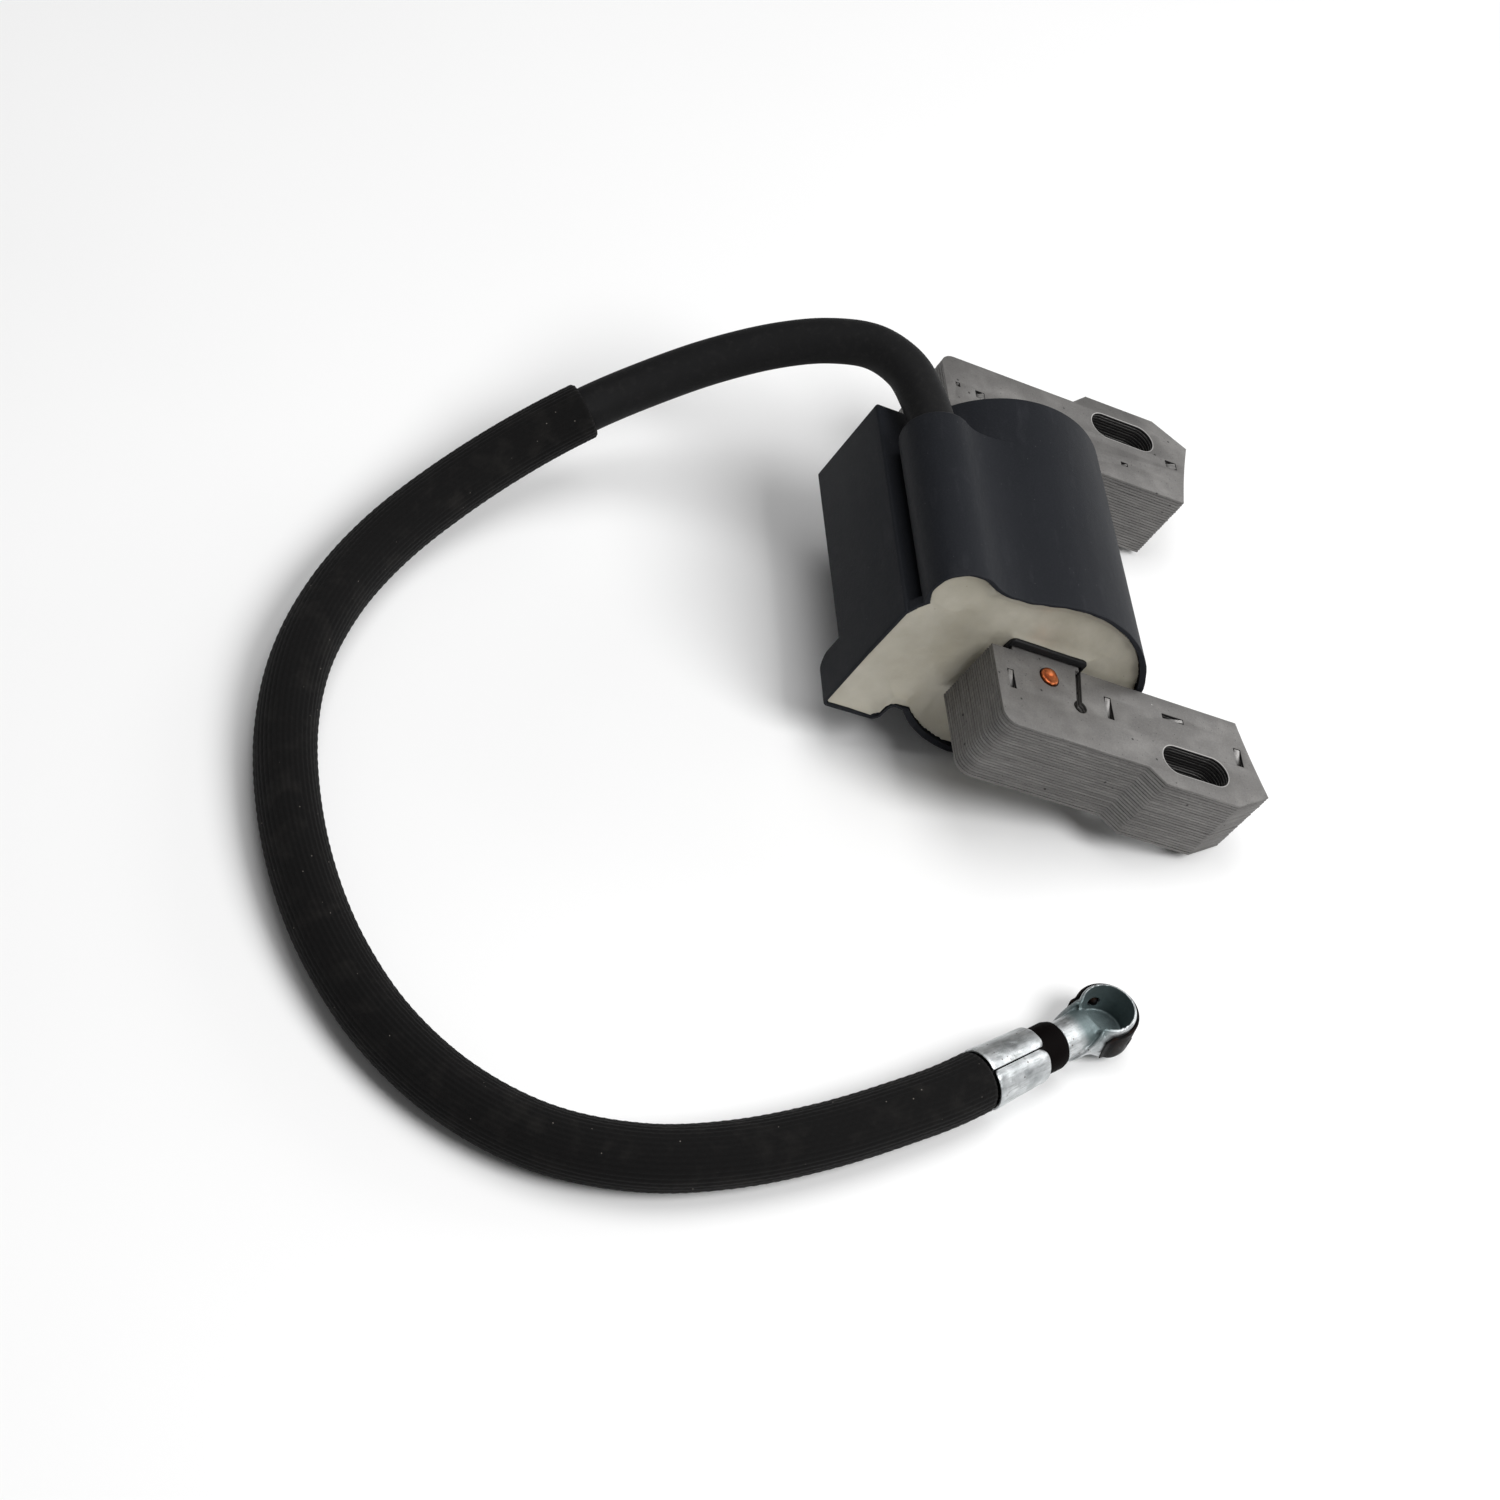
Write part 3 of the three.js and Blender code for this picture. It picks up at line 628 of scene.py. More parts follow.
def resin():
    """Cast epoxy: cream, slightly glassy, with darker drifts, pin holes and dirt."""
    look = Surface("resin", Subsurface_Weight=0.12, Subsurface_Scale=1.5 * MM, Coat_Weight=0.15)
    look.set(Subsurface_Radius=(1.0, 0.8, 0.5))
    mottle = look.noise(1.7, 4)
    tone = look.over((0.36, 0.335, 0.27), (0.46, 0.435, 0.365), look.noise(11, 2), 0.35, 0.68, 1.0)
    tone = look.over(tone, (0.31, 0.285, 0.225), mottle, 0.4, 0.8, 0.3)
    look.colour(look.spots(tone, (0.12, 0.1, 0.08), 2.6, 0.02, 0.045, 0.7))
    look.rough(look.noise(0.9), 0.3, 0.48)
    look.bump(look.sum(mottle, look.noise(5, 2), 1.5), 0.06)
    return look.material


def enamel_wire():
    """Close-wound enamelled wire, seen as fine rounds side by side along Y."""
    look = Surface("enamel_wire", Metallic=0.7, Coat_Weight=0.5)
    turns = look.add(
        "ShaderNodeTexWave",
        {"wave_type": "BANDS", "bands_direction": "Y", "wave_profile": "SIN"},
        Vector=look.place,
        Scale=WAVE_SCALE / (WIRE_PITCH * MM),
        Distortion=0.3,
        Detail=1.0,
    ).outputs["Fac"]
    look.colour(look.mix(look.sum(turns, look.noise(2), 0.4), (0.2, 0.05, 0.02), (0.62, 0.25, 0.1)))
    look.rough(look.noise(0.6), 0.22, 0.36)
    look.bump(turns, 0.08)
    return look.material


def board_laminate():
    look = Surface("board_laminate", Coat_Weight=0.3)
    weave = look.cells(0.7)
    look.colour(look.over((0.02, 0.1, 0.045), (0.035, 0.16, 0.07), weave, 0.2, 0.7, 1.0))
    look.rough(look.noise(0.8), 0.3, 0.45)
    look.bump(weave, 0.02)
    return look.material


def rubber():
    """Extruded rubber, dark grey with a dry bloom and faint scuffs; darker and less glossy near its end
    inside the terminal, which is painted shade.
    """
    look = Surface("rubber")
    bloom = look.noise(6, 3)
    grain = look.noise(0.25, 4)
    scuff = look.noise(1.1, 4)
    tone = look.mix(bloom, (0.003, 0.003, 0.0033), (0.0065, 0.0065, 0.007))
    tone = look.over(tone, (0.017, 0.016, 0.016), scuff, 0.52, 0.75, 0.4)
    tone = look.over(tone, (0.004, 0.004, 0.0045), grain, 0.45, 0.8, 0.3)
    # Near the lead's end, between the crimp and the neck, the colour and the gloss are turned down: painted
    # shade.
    painted_end_shade = look.within(5, LEAD_END, keep=(1, 1, 1), soft=2)
    look.colour(look.mix(painted_end_shade, tone, (0.002, 0.0012, 0.0012)))
    look.set(Specular_IOR_Level=look.ramp(painted_end_shade, (0, 0.2), (1, 0.04)))
    look.rough(look.sum(grain, bloom, 0.4), 0.55, 0.7)
    look.bump(look.sum(grain, scuff, 0.6), 0.03)
    return look.material


def braid():
    """Black woven sleeving: dull yarn, worn crowns and a few pale fibre ends."""
    look = Surface("braid", Roughness=0.85, Specular_IOR_Level=0.12)
    look.set(Sheen_Weight=0.04, Sheen_Roughness=0.5)
    yarn = look.noise(0.22, 3)
    tone = look.mix(yarn, (0.0015, 0.0015, 0.0015), (0.006, 0.0056, 0.0056))
    tone = look.over(tone, (0.024, 0.022, 0.02), look.noise(3.5, 4), 0.5, 0.8, 0.35)
    look.colour(look.spots(tone, (0.22, 0.2, 0.18), 1.9, 0.03, 0.055, 0.8))
    look.bump(look.sum(yarn, look.noise(0.1), 0.6), 0.05)
    return look.material


def zinc_plate():
    """Bright zinc over stamped steel: smudged and scuffed outside; inside the cup and its throat darkened to
    a dull grey-green and made less metallic, as painted shade.
    """
    look = Surface("zinc_plate")
    cloud = look.noise(2.4, 4)
    fine = look.noise(0.18, 3)
    marks = look.noise(0.35, 3, (0.15, 1, 1))
    blots = look.noise(1.1, 5)
    tone = look.over((0.36, 0.38, 0.39), (0.74, 0.76, 0.77), cloud, 0.3, 0.7, 1.0)
    tone = look.over(tone, (0.24, 0.26, 0.255), marks, 0.5, 0.72, 0.6)
    tone = look.over(tone, (0.17, 0.165, 0.155), blots, 0.62, 0.72, 0.55)
    tone = look.spots(tone, (0.07, 0.035, 0.022), 1.3, 0.06, 0.13, 0.8)
    # Inside the cup, and in the throat where the neck meets it, the colour turns dark grey-green and less
    # metallic: painted shade.
    cup = look.within(CUP_RADIUS - SHEET + 0.03, (CUP_X, 0, 0))
    painted_throat_shade = look.within(1.4, (CUP_X - 3, 0, 2.2), (0.8, 1.3, 1.2), (1, 1, 1), 1.6)
    inside = look.mix(painted_throat_shade, cup, (1, 1, 1))
    look.colour(look.mix(inside, tone, look.mix(blots, (0.1, 0.135, 0.14), (0.19, 0.24, 0.245))))
    look.set(Metallic=look.ramp(inside, (0, 0.95), (1, 0.55)))
    look.rough(look.sum(cloud, fine, 0.5), 0.2, 0.44)
    look.bump(look.sum(fine, blots, 1.2), 0.06)
    return look.material


def dark_spring():
    """Oil-blacked spring steel with brown rust bloom."""
    look = Surface("dark_spring", Metallic=0.1, Specular_IOR_Level=0.05)
    rust = look.noise(1.5, 5)
    stops = [(0.5, (0.003, 0.003, 0.0035)), (0.62, (0.014, 0.008, 0.006)), (0.78, (0.06, 0.028, 0.016))]
    look.colour(look.ramp(rust, *stops))
    look.rough(rust, 0.3, 0.6)
    look.bump(look.sum(look.noise(0.16, 3), rust, 1.0), 0.04)
    return look.material


def plain(name, cloud, dark, light, gloss, relief, **sockets):
    """Cloudy between two colours; gloss is a grain size and a range, relief a grain size and a depth."""
    look = Surface(name, **sockets)
    look.colour(look.mix(look.noise(*cloud), dark, light))
    look.rough(look.noise(gloss[0]), *gloss[1:])
    look.bump(look.noise(relief[0]), relief[1])
    return look.material


def brass():
    colours = (0.62, 0.44, 0.17), (0.78, 0.6, 0.28)
    return plain("brass", (1.2, 4), *colours, (0.2, 0.22, 0.42), (0.12, 0.01), Metallic=1.0)


def bobbin_plastic():
    colours = (0.003, 0.003, 0.0035), (0.007, 0.007, 0.008)
    return plain("bobbin_plastic", (3,), *colours, (0.4, 0.45, 0.6), (0.3, 0.02), Specular_IOR_Level=0.25)


def component_case():
    colours = (0.012, 0.012, 0.012), (0.03, 0.03, 0.03)
    return plain("component_case", (1.4,), *colours, (0.3, 0.4, 0.6), (0.15, 0.015))


def component_ceramic():
    colours = (0.42, 0.3, 0.17), (0.6, 0.47, 0.3)
    return plain("component_ceramic", (0.8,), *colours, (0.4, 0.25, 0.4), (0.25, 0.02), Coat_Weight=0.4)


def floor_paint():
    look = Surface("floor_paint", Roughness=0.85)
    look.colour(look.mix(look.noise(60, 2), (0.86, 0.86, 0.86), (0.885, 0.885, 0.885)))
    look.bump(look.noise(1.5), 0.01)
    return look.material


STEEL = sheet_steel()
PRESSED = pressed_steel()
COPPER = copper()
BRASS = brass()
PLASTIC = housing_plastic()
BOBBIN = bobbin_plastic()
RESIN = resin()
WIRE = enamel_wire()
BOARD = board_laminate()
CASE = component_case()
CERAMIC = component_ceramic()
RUBBER = rubber()
BRAID = braid()
ZINC = zinc_plate()
SPRING = dark_spring()

# ---- lead ----


def catmull_rom(points, per_span):
    """The centripetal curve through the points, as a fine polyline."""
    points = [Vector(p) for p in points]
    ends = [points[0] * 2 - points[1], *points, points[-1] * 2 - points[-2]]
    line = []
    for p0, p1, p2, p3 in zip(ends, ends[1:], ends[2:], ends[3:]):
        t1 = (p1 - p0).length ** 0.5
        t2 = t1 + (p2 - p1).length ** 0.5
        t3 = t2 + (p3 - p2).length ** 0.5
        for step in range(per_span):
            t = t1 + (t2 - t1) * step / per_span
            a1 = p0.lerp(p1, t / t1)
            a2 = p1.lerp(p2, (t - t1) / (t2 - t1))
            a3 = p2.lerp(p3, (t - t2) / (t3 - t2))
            b1 = a1.lerp(a2, t / t2)
            b2 = a2.lerp(a3, (t - t1) / (t3 - t1))
            line.append(b1.lerp(b2, (t - t1) / (t2 - t1)))
    return np.array([*line, points[-1]])


LEAD_LINE = catmull_rom(ROUTE, SPAN_STEPS) / MM
LEAD_ALONG = np.concatenate([[0], np.cumsum(np.linalg.norm(np.diff(LEAD_LINE, axis=0), axis=1))])
LEAD_LENGTH = float(LEAD_ALONG[-1])


def stretch_of_lead(start, end, step):
    """Places along the lead, their points, and two directions across it that never twist."""
    places = np.linspace(start, end, round((end - start) / step) + 1)
    points = np.stack([np.interp(places, LEAD_ALONG, LEAD_LINE[:, k]) for k in range(3)], axis=1)
    ahead = np.gradient(points, axis=0)
    ahead /= np.linalg.norm(ahead, axis=1, keepdims=True)
    across = np.zeros_like(points)
    side = np.cross((0, 0, 1), ahead[0])
    for index, direction in enumerate(ahead):
        side = side - direction * side.dot(direction)
        side /= np.linalg.norm(side)
        across[index] = side
    return places, points, across, np.cross(ahead, across)


def tube(name, start, end, step, sides, radius, bore):
    """A tube along the lead; radius takes places along and angles round it, in radians."""
    places, points, across, over = stretch_of_lead(start, end, step)
    angles = np.linspace(0, 2 * math.pi, sides, endpoint=False)
    grid = radius(places[:, None], angles[None, :]) * np.ones((len(places), sides))
    spokes = across[:, None] * np.cos(angles)[None, :, None] + over[:, None] * np.sin(angles)[None, :, None]
    outer = points[:, None] + spokes * grid[..., None]
    inner = points[:, None] + spokes * bore
    vertices = np.concatenate([outer.reshape(-1, 3), inner.reshape(-1, 3)])
    rings = len(places)
    shift = rings * sides
    faces = ring_faces(rings, sides) + ring_faces(rings, sides, shift)
    for first in (0, shift - sides):
        for i in range(sides):
            a, b = first + i, first + (i + 1) % sides
            faces.append((a, a + shift, b + shift, b))
    return mesh_object(name, vertices.tolist(), faces), points


def end_rounding(places, start, end, reach):
    """1 along the tube, falling off in a quarter circle at its two ends."""
    into = np.clip(np.minimum(places - start, end - places) / reach, 0, 1)
    return np.sqrt(1 - (1 - into) ** 2)


def rubber_radius(places, angles):
    """Slightly wavy, squeezed under the crimp and rounded at its ends."""
    squeezed = (places > LEAD_LENGTH + CRIMP_FROM) & (places < LEAD_LENGTH + CRIMP_TO)
    wave = 0.03 * np.sin(places / 9.7) + 0.02 * np.sin(2 * angles + places / 23)
    rim = 0.25 * (1 - end_rounding(places, 0, LEAD_LENGTH, 0.5))
    return LEAD_RADIUS - LEAD_PLAY + wave - LEAD_SQUEEZE * squeezed - rim


SLEEVE_END = LEAD_LENGTH + CRIMP_FROM - 0.3


def sleeve_radius(places, angles):
    """Yarns run lengthwise, each with a crown, and dip in turn under those that go round."""
    number = angles * YARNS_ROUND / (2 * math.pi)
    crown = np.abs(np.cos(math.pi * number))
    turn = np.floor(number + 0.5) * math.pi
    dip = 0.5 + 0.5 * np.cos(2 * math.pi * places / YARN_PITCH + turn)
    slack = 0.05 * np.sin(places / 13 + 2 * angles) + 0.03 * np.sin(places / 5.3 - angles)
    rim = 0.35 * (1 - end_rounding(places, SLEEVE_START, SLEEVE_END, 0.5))
    return SLEEVE_RADIUS - SLEEVE_PLAY + YARN_CROWN * crown + YARN_DIP * dip * crown + slack - rim


def add_lead():
    sides = YARNS_ROUND * YARN_SIDES
    sleeve, _ = tube("lead_braid", SLEEVE_START, SLEEVE_END, SLEEVE_STEP, sides, sleeve_radius, SLEEVE_BORE)
    finish_piece(sleeve, 60, BRAID, "lead_sleeve")
    lead, line = tube("lead_rubber", 0, LEAD_LENGTH, LEAD_STEP, LEAD_SIDES, rubber_radius, LEAD_BORE)
    finish_piece(lead, 35, RUBBER, "lead_insulation")
    return lead, sleeve, line * MM


LEAD, SLEEVE, LEAD_PATH = add_lead()

# ---- plug terminal ----


def rounded_back(beside, reach, width):
    """How far a corner that wide is pulled back by its rounding."""
    share = max(0, 1 - beside / width)
    return reach * (1 - math.sqrt(1 - share * share))


def dented(along, angle):
    depth = 0
    for place, turn, reach, deep in DENTS:
        off = (angle - math.radians(turn) + math.pi) % (2 * math.pi) - math.pi
        depth += deep * math.exp(-((along - place) ** 2 + (off * CRIMP_OUTER) ** 2) / reach**2)
    return depth


def crimp_ring(share, rim):
    """Places, radii and angles round the strip's outside, that share of the way along it."""
    outer = (CRIMP_OUTER + 0.02) * (1 - CRIMP_TAPER * share) + CRIMP_FLARE * math.exp(-share * 9)
    ring = []
    for k in range(CRIMP_SIDES + 1):
        off = SEAM_HALF + (2 * math.pi - 2 * SEAM_HALF) * k / CRIMP_SIDES
        beside = min(off, 2 * math.pi - off)
        side = 0 if off < math.pi else 1
        short = rounded_back(beside, *END_CORNERS[side])
        late = rounded_back(beside, *START_CORNERS[side])
        along = CRIMP_FROM + late + share * (CRIMP_TO - CRIMP_FROM - short - late)
        dip = SEAM_DIP * math.exp(-((beside / SEAM_DIP_REACH) ** 2)) + dented(along, SEAM_TURN + off)
        ring.append((along, outer - dip - rim, SEAM_TURN + off))
    return ring


def crimp_barrel():
    """Rolled strip: its two edges meet in a seam and dip a little into the rubber."""
    steps = CRIMP_STEPS
    points = []
    for step in range(steps + 1):
        rim = CRIMP_RIM * (1 - math.sqrt(1 - (1 - min(1, step / 2, (steps - step) / 2)) ** 2))
        ring = crimp_ring(step / steps, rim)
        inner = [(along, radius - SHEET + 2 * rim, angle) for along, radius, angle in reversed(ring)]
        for along, radius, angle in ring + inner:
            points.append((along, radius * math.cos(angle), radius * math.sin(angle)))
    half = len(ring)
    faces = ring_faces(steps + 1, 2 * half)
    for start in (0, steps * 2 * half):
        for k in range(half - 1):
            a, b = start + k, start + 2 * half - 1 - k
            faces.append((a, a + 1, b - 1, b))
    return mesh_object("plug_terminal_stamping", points, faces, TERMINAL)


def along_x(name, outline, low, high):
    return prism(name, [outline], low, high, along="X", place=TERMINAL)


def strand(name, points, radius):
    """Thin round strand through the points, its ends tapered."""
    sides, tip = 10, 0.35
    points = np.array(points)
    ahead = np.gradient(points, axis=0)
    ahead /= np.linalg.norm(ahead, axis=1, keepdims=True)
    side = np.cross(ahead, (0.3, 0.5, 0.81))
    side /= np.linalg.norm(side, axis=1, keepdims=True)
    over = np.cross(ahead, side)
    vertices = []
    for index, point in enumerate(points):
        here = radius * (tip if index in (0, len(points) - 1) else 1)
        for x, y in circle(0, 0, here, sides):
            vertices.append(tuple(point + side[index] * x + over[index] * y))
    faces = ring_faces(len(points), sides) + end_faces(len(points), sides)
    return mesh_object(name, vertices, faces, TERMINAL)


def neck_crease(side):
    """Fold that runs from the cup's rim down the side of the neck."""
    radii, places = zip(*NECK_FLARE)
    steps = 18
    points = []
    for step in range(steps + 1):
        share = step / steps
        angle = math.radians(46 + 84 * share)
        along = 5.9 - 4.7 * share
        radius = float(np.interp(along, places, radii)) - 0.06
        points.append((along, -side * radius * math.sin(angle), radius * math.cos(angle)))
    return strand("crease", points, 0.27)


def across_neck(name, outline):
    return bar_y(name, [outline], -4.6, 4.6, place=TERMINAL)


def nib_place(side):
    """Where a nib of the spring passes the cup's wall, its own Z pointing outwards."""
    turn = Matrix.Rotation(side * NIB_TURN, 4, "Z") @ Matrix.Rotation(math.pi / 2, 4, "Y")
    return TERMINAL @ shifted(CUP_X, 0, NIB_HEIGHT) @ turn


def terminal_cup():
    """Cup, neck and strap as one drawn skin."""
    round_cup, round_well = (circle(CUP_X, 0, CUP_RADIUS - wall, 72) for wall in (0, SHEET))
    cup = prism("cup", [round_cup], CUP_LOW, CUP_HIGH, SHEET, place=TERMINAL, steps=4)
    neck = along_x("neck", circle(0, 0, NECK_RADIUS, 48), NECK_START, CUP_X - 3)
    profile = [(0, NECK_FLARE[0][1]), *NECK_FLARE, (0, NECK_FLARE[-1][1])]
    flare = turned_piece("flare", profile, 56, TERMINAL @ Matrix.Rotation(math.pi / 2, 4, "Y"))
    skirt = across_neck("skirt", [(0.3, -3.4), (9, -3.4), (9, 2.7), (6.8, 2.7), (0.3, -2.4)])
    strap = along_x("strap", block(0, -3.93, 1.8, 0.27, 0.2), CRIMP_TO - 0.8, 1.2)
    riser = along_x("riser", block(0, -3.1, 1.8, 1.1, 0.3), NECK_START + 0.05, 1.2)
    flare = combine(flare, [skirt], "INTERSECT")
    body = join(cup, neck, flare, strap, riser, neck_crease(1), neck_crease(-1))
    well = prism("well", [round_well], CUP_LOW + 0.7, CUP_HIGH + 2, place=TERMINAL)
    mouth = along_x("mouth", block(0, 3.9, 2.6, 2.4, 1.9), CUP_X - CUP_RADIUS - 0.2, CUP_X)
    cut(body, well, mouth)
    spout = along_x("spout", circle(0, 0, NECK_RADIUS - 0.05, 48), CUP_X - 5, CUP_X - 0.7)
    ramp = across_neck("ramp", [(4.9, 3.4), (9.8, 3.4), (9.8, -3), (8.6, -1.6), (6.6, 1.6)])
    join(body, cut(spout, ramp))
    bore = along_x("bore", circle(0, 0, NECK_BORE, 40), -1, CUP_X)
    holes = [prism("hole", [circle(0, 0, 0.85, 20)], 2.5, 5, place=nib_place(side)) for side in (1, -1)]
    return remeshed(cut(body, bore, *holes), 0.13, 2)


def spring_band():
    """Spring band round the cup, bowed over its height, its ends turned outwards."""
    count = 72
    section = block(0, 0, 0.2, BAND_HALF_HIGH, 0.16, 3)
    points = []
    for k in range(count + 1):
        share = k / count
        angle = -math.pi + BAND_OPENING + share * (2 * math.pi - 2 * BAND_OPENING)
        end = min(share, 1 - share)
        turned_out = 0.5 * math.exp(-((end / 0.02) ** 2))
        narrow = 1 - 0.25 * math.exp(-((end / 0.05) ** 2))
        for across, high in section:
            bow = BAND_BOW * (1 - (high / BAND_HALF_HIGH) ** 2)
            radius = CUP_RADIUS + BAND_GAP + across + turned_out + bow
            height = BAND_MIDDLE + high * narrow
            points.append((CUP_X + radius * math.cos(angle), radius * math.sin(angle), height))
    faces = ring_faces(count + 1, len(section)) + end_faces(count + 1, len(section))
    return mesh_object("terminal_spring_band", points, faces, TERMINAL)


def add_terminal():
    stamping = join(crimp_barrel(), terminal_cup())
    finish_piece(stamping, 50, ZINC, "plug_terminal")
    profile = [(0, 3.1), (0.35, 3.15), (0.55, 3.4), (0.62, 3.8), (0.62, 4.75), (0, 4.75)]
    nibs = [turned_piece("nib", profile, 20, nib_place(side)) for side in (1, -1)]
    band = join(spring_band(), *nibs)
    finish_piece(band, 50, SPRING, "terminal_spring")
    return stamping, band


STAMPING, BAND = add_terminal()

# ---- core ----


def pole_face_x(y):
    middle = LEG_TIP + math.sqrt(POLE_RADIUS**2 - CHAMFER_OUTER**2)
    return middle - math.sqrt(POLE_RADIUS**2 - y**2)


def leg_outline():
    """Half of a sheet's outline, from the limb's back round the far leg to the limb's front."""
    points = [(LIMB_BACK, LEG_INNER), (0, LEG_INNER)]
    points += arc(BACK_ROUNDING, LEG_BACK_OUTER - BACK_ROUNDING, BACK_ROUNDING, 180, 90, 10)
    points += [(STEP_START, LEG_BACK_OUTER), (STEP_END, LEG_FRONT_OUTER), (CHAMFER_START, LEG_FRONT_OUTER)]
    reach = [CHAMFER_OUTER + (LEG_INNER - CHAMFER_OUTER) * step / 10 for step in range(11)]
    points += [(pole_face_x(y), y) for y in reach]
    half = SLIT_WIDTH / 2
    open_to = math.degrees(math.asin(half / SLIT_HOLE))
    points.append((SLIT_X + half, LEG_INNER))
    points += arc(SLIT_X + SLIT_LEAN, SLIT_END, SLIT_HOLE, open_to - 90, 270 - open_to, 18)
    points.append((SLIT_X - half, LEG_INNER))
    points.append((LIMB_FRONT, LEG_INNER))
    return points


def slot_outline(side):
    reach = (SLOT_LENGTH - SLOT_WIDTH) / 2
    front = arc(SLOT_X + reach, side * SLOT_Y, SLOT_WIDTH / 2, -90, 90, 14)
    return front + arc(SLOT_X - reach, side * SLOT_Y, SLOT_WIDTH / 2, 90, 270, 14)


def stake_block(stake, gap, rounding, count):
    """A stake's outline, drawn inwards by that gap."""
    half_x, half_y = (half - gap for half in stake_sides(stake))
    return block(stake[0], stake[1], half_x, half_y, rounding, count)


def stake_tongue(number, stake):
    """Strip pressed down inside a stake's hole: flush at one end and deep at the other."""
    x, y, half_length, _, lengthwise = stake
    outline = stake_block(stake, TONGUE_GAP, 0.1, 3)
    low, high = STACK - TONGUE_THICK, STACK + TONGUE_PROUD
    tongue = prism(f"core_stake_{number}", [outline], low, high, 0.05, place=CORE)
    for vertex in tongue.data.vertices:
        along = vertex.co.x / MM - x if lengthwise else vertex.co.y / MM - y
        share = 0.5 - 0.5 * along / (half_length - TONGUE_GAP)
        vertex.co.z -= TONGUE_DROP * max(0, share - TONGUE_FLAT) * MM
    return tongue


def add_core():
    dice = random.Random(24)
    far = leg_outline()
    outline = far + [(x, -y) for x, y in reversed(far)]
    pitch = (STACK + SHEET_GAP) / SHEETS
    for index in range(SHEETS):
        low = index * pitch
        high = low + pitch - SHEET_GAP
        loops = [outline, slot_outline(1), slot_outline(-1)]
        if high > STACK - PIN_DEPTH:
            loops.append(circle(PIN_X, PIN_Y, PIN_HOLE, 28))
        if index >= SHEETS - STAKED_SHEETS:
            loops += [stake_block(stake, 0, 0.12, 2) for stake in STAKES]
        outer_sheet = index in (0, SHEETS - 1)
        edge = OUTER_SHEET_EDGE if outer_sheet else SHEET_EDGE
        sheet = prism(f"core_sheet_{index + 1:02d}", loops, low, high, edge)
        shift = shifted(dice.gauss(0, SHEET_SHIFT_X), dice.gauss(0, SHEET_SHIFT_Y), 0)
        if not outer_sheet:
            sheet.data.transform(shift)
        sheet.matrix_world = CORE
        finish_piece(sheet, 40, STEEL, "core_laminations")
    for index, stake in enumerate(STAKES):
        finish_piece(stake_tongue(index + 1, stake), 40, PRESSED, "core_laminations")


def add_ground_pin():
    """Copper pin set with a punch: a dished, slightly burred head."""
    profile = [(0, -4.6), (1.3, -4.6), (1.42, -4.4), (1.42, -0.1), (1.5, 0.08), (1.46, 0.24), (1.2, 0.33)]
    profile += [(0.8, 0.27), (0.45, 0.12), (0.2, 0.02), (0, 0)]
    pin = turned_piece("ground_pin_head", profile, 36, CORE @ shifted(PIN_X, PIN_Y, STACK))
    for vertex in pin.data.vertices:
        if vertex.co.z > -0.2 * MM:
            bulge = noise.noise(vertex.co * 900) * 0.09 * MM
            vertex.co += Vector((bulge, bulge * 0.6, bulge * 0.7))
    finish_piece(pin, 60, COPPER, "ground_pin")


add_core()
add_ground_pin()

# ---- housing and potting ----


def body_outline(by):
    """Barrel and box in X and Z, drawn inwards by that much."""
    radius = BARREL_RADIUS - by
    low, high = BOX_LOW + by, BOX_HIGH - by
    start = 180 + math.degrees(math.asin((BARREL_Z - low) / radius))
    end = 540 - math.degrees(math.asin((high - BARREL_Z) / radius))
    corner = max(0.15, 0.45 - by / 3)
    left = BOX_LEFT + by
    turned = arc(BARREL_X, BARREL_Z, radius, start, end, 72)
    ends = [(*turned[-1], 0), (left, high, corner), (left, low, corner), (*turned[0], 0)]
    return turned[1:-1] + rounded(ends, 4)


def tower_outline(by):
    """Tower and the valley that runs from it to the barrel, drawn inwards by that much."""
    radius = TOWER_RADIUS - by
    lobe = arc(TOWER_X, TOWER_Z, radius, 60, 235, 32)
    on_barrel = arc(BARREL_X, BARREL_Z, BARREL_RADIUS - by, 110, 108, 1)[0]
    first, last = Vector(on_barrel), Vector(lobe[0])
    out = Vector((-math.sin(math.radians(110)), math.cos(math.radians(110)))) * 3.2
    back = Vector((math.sin(math.radians(60)), -math.cos(math.radians(60)))) * 3.2
    valley = []
    for step in range(16):
        t = step / 16
        a, b = first.lerp(first + out, t), (first + out).lerp(last + back, t)
        c = (last + back).lerp(last, t)
        valley.append(tuple(a.lerp(b, t).lerp(b.lerp(c, t), t)))
    inside = [(TOWER_X - 0.5, BOX_HIGH - by - 1), (0, 8), (BARREL_X, 15 - by)]
    return valley + lobe + inside


def groove_outline(by):
    """Web that closes the groove between the box and the tower at the open end."""
    left = [(BOX_LEFT + by, 12.4), (BOX_LEFT + 0.9 + by, 14.6 - by / 2), (-12.9 + by, 15.7 - by / 2)]
    return [*left, (-12.2 + by, 17), (-9, 17.5), (-8, 12.4)]


def collar_outline(by):
    """Foot of the open end, below the box."""
    left, low, right = BOX_LEFT + by, COLLAR_LOW + by, COLLAR_RIGHT - by
    web = COLLAR_WEB + by
    notch = [(right, low, 1.1), (right + 0.5, web, 0.9), (-1, web, 0)]
    return rounded([(left, 3, 0), (left, low, max(0.3, 0.8 - by)), *notch, (1, 3, 0)], 6)


# An outline that goes round the whole coil.
ALL_ROUND = block(0, 5, 60, 60, 1)


def housing_hollow(name, front, by, foot, shift=0):
    """Space inside the housing from the plane y = front; shift moves it up and to the left."""
    body = bar_y(name, [body_outline(by)], front, FAR_END - by)
    join(body, bar_y("tower", [tower_outline(by)], front, TOWER_FLOOR - by + WALL))
    body.data.transform(Matrix.Translation((-shift * MM, 0, shift * MM)))
    collar = bar_y("collar", [collar_outline(foot)], front, COLLAR_BACK - foot)
    groove = bar_y("groove", [groove_outline(foot)], front, OPEN_END + GROOVE_END - GROOVE_FLOOR)
    return join(body, collar, groove)


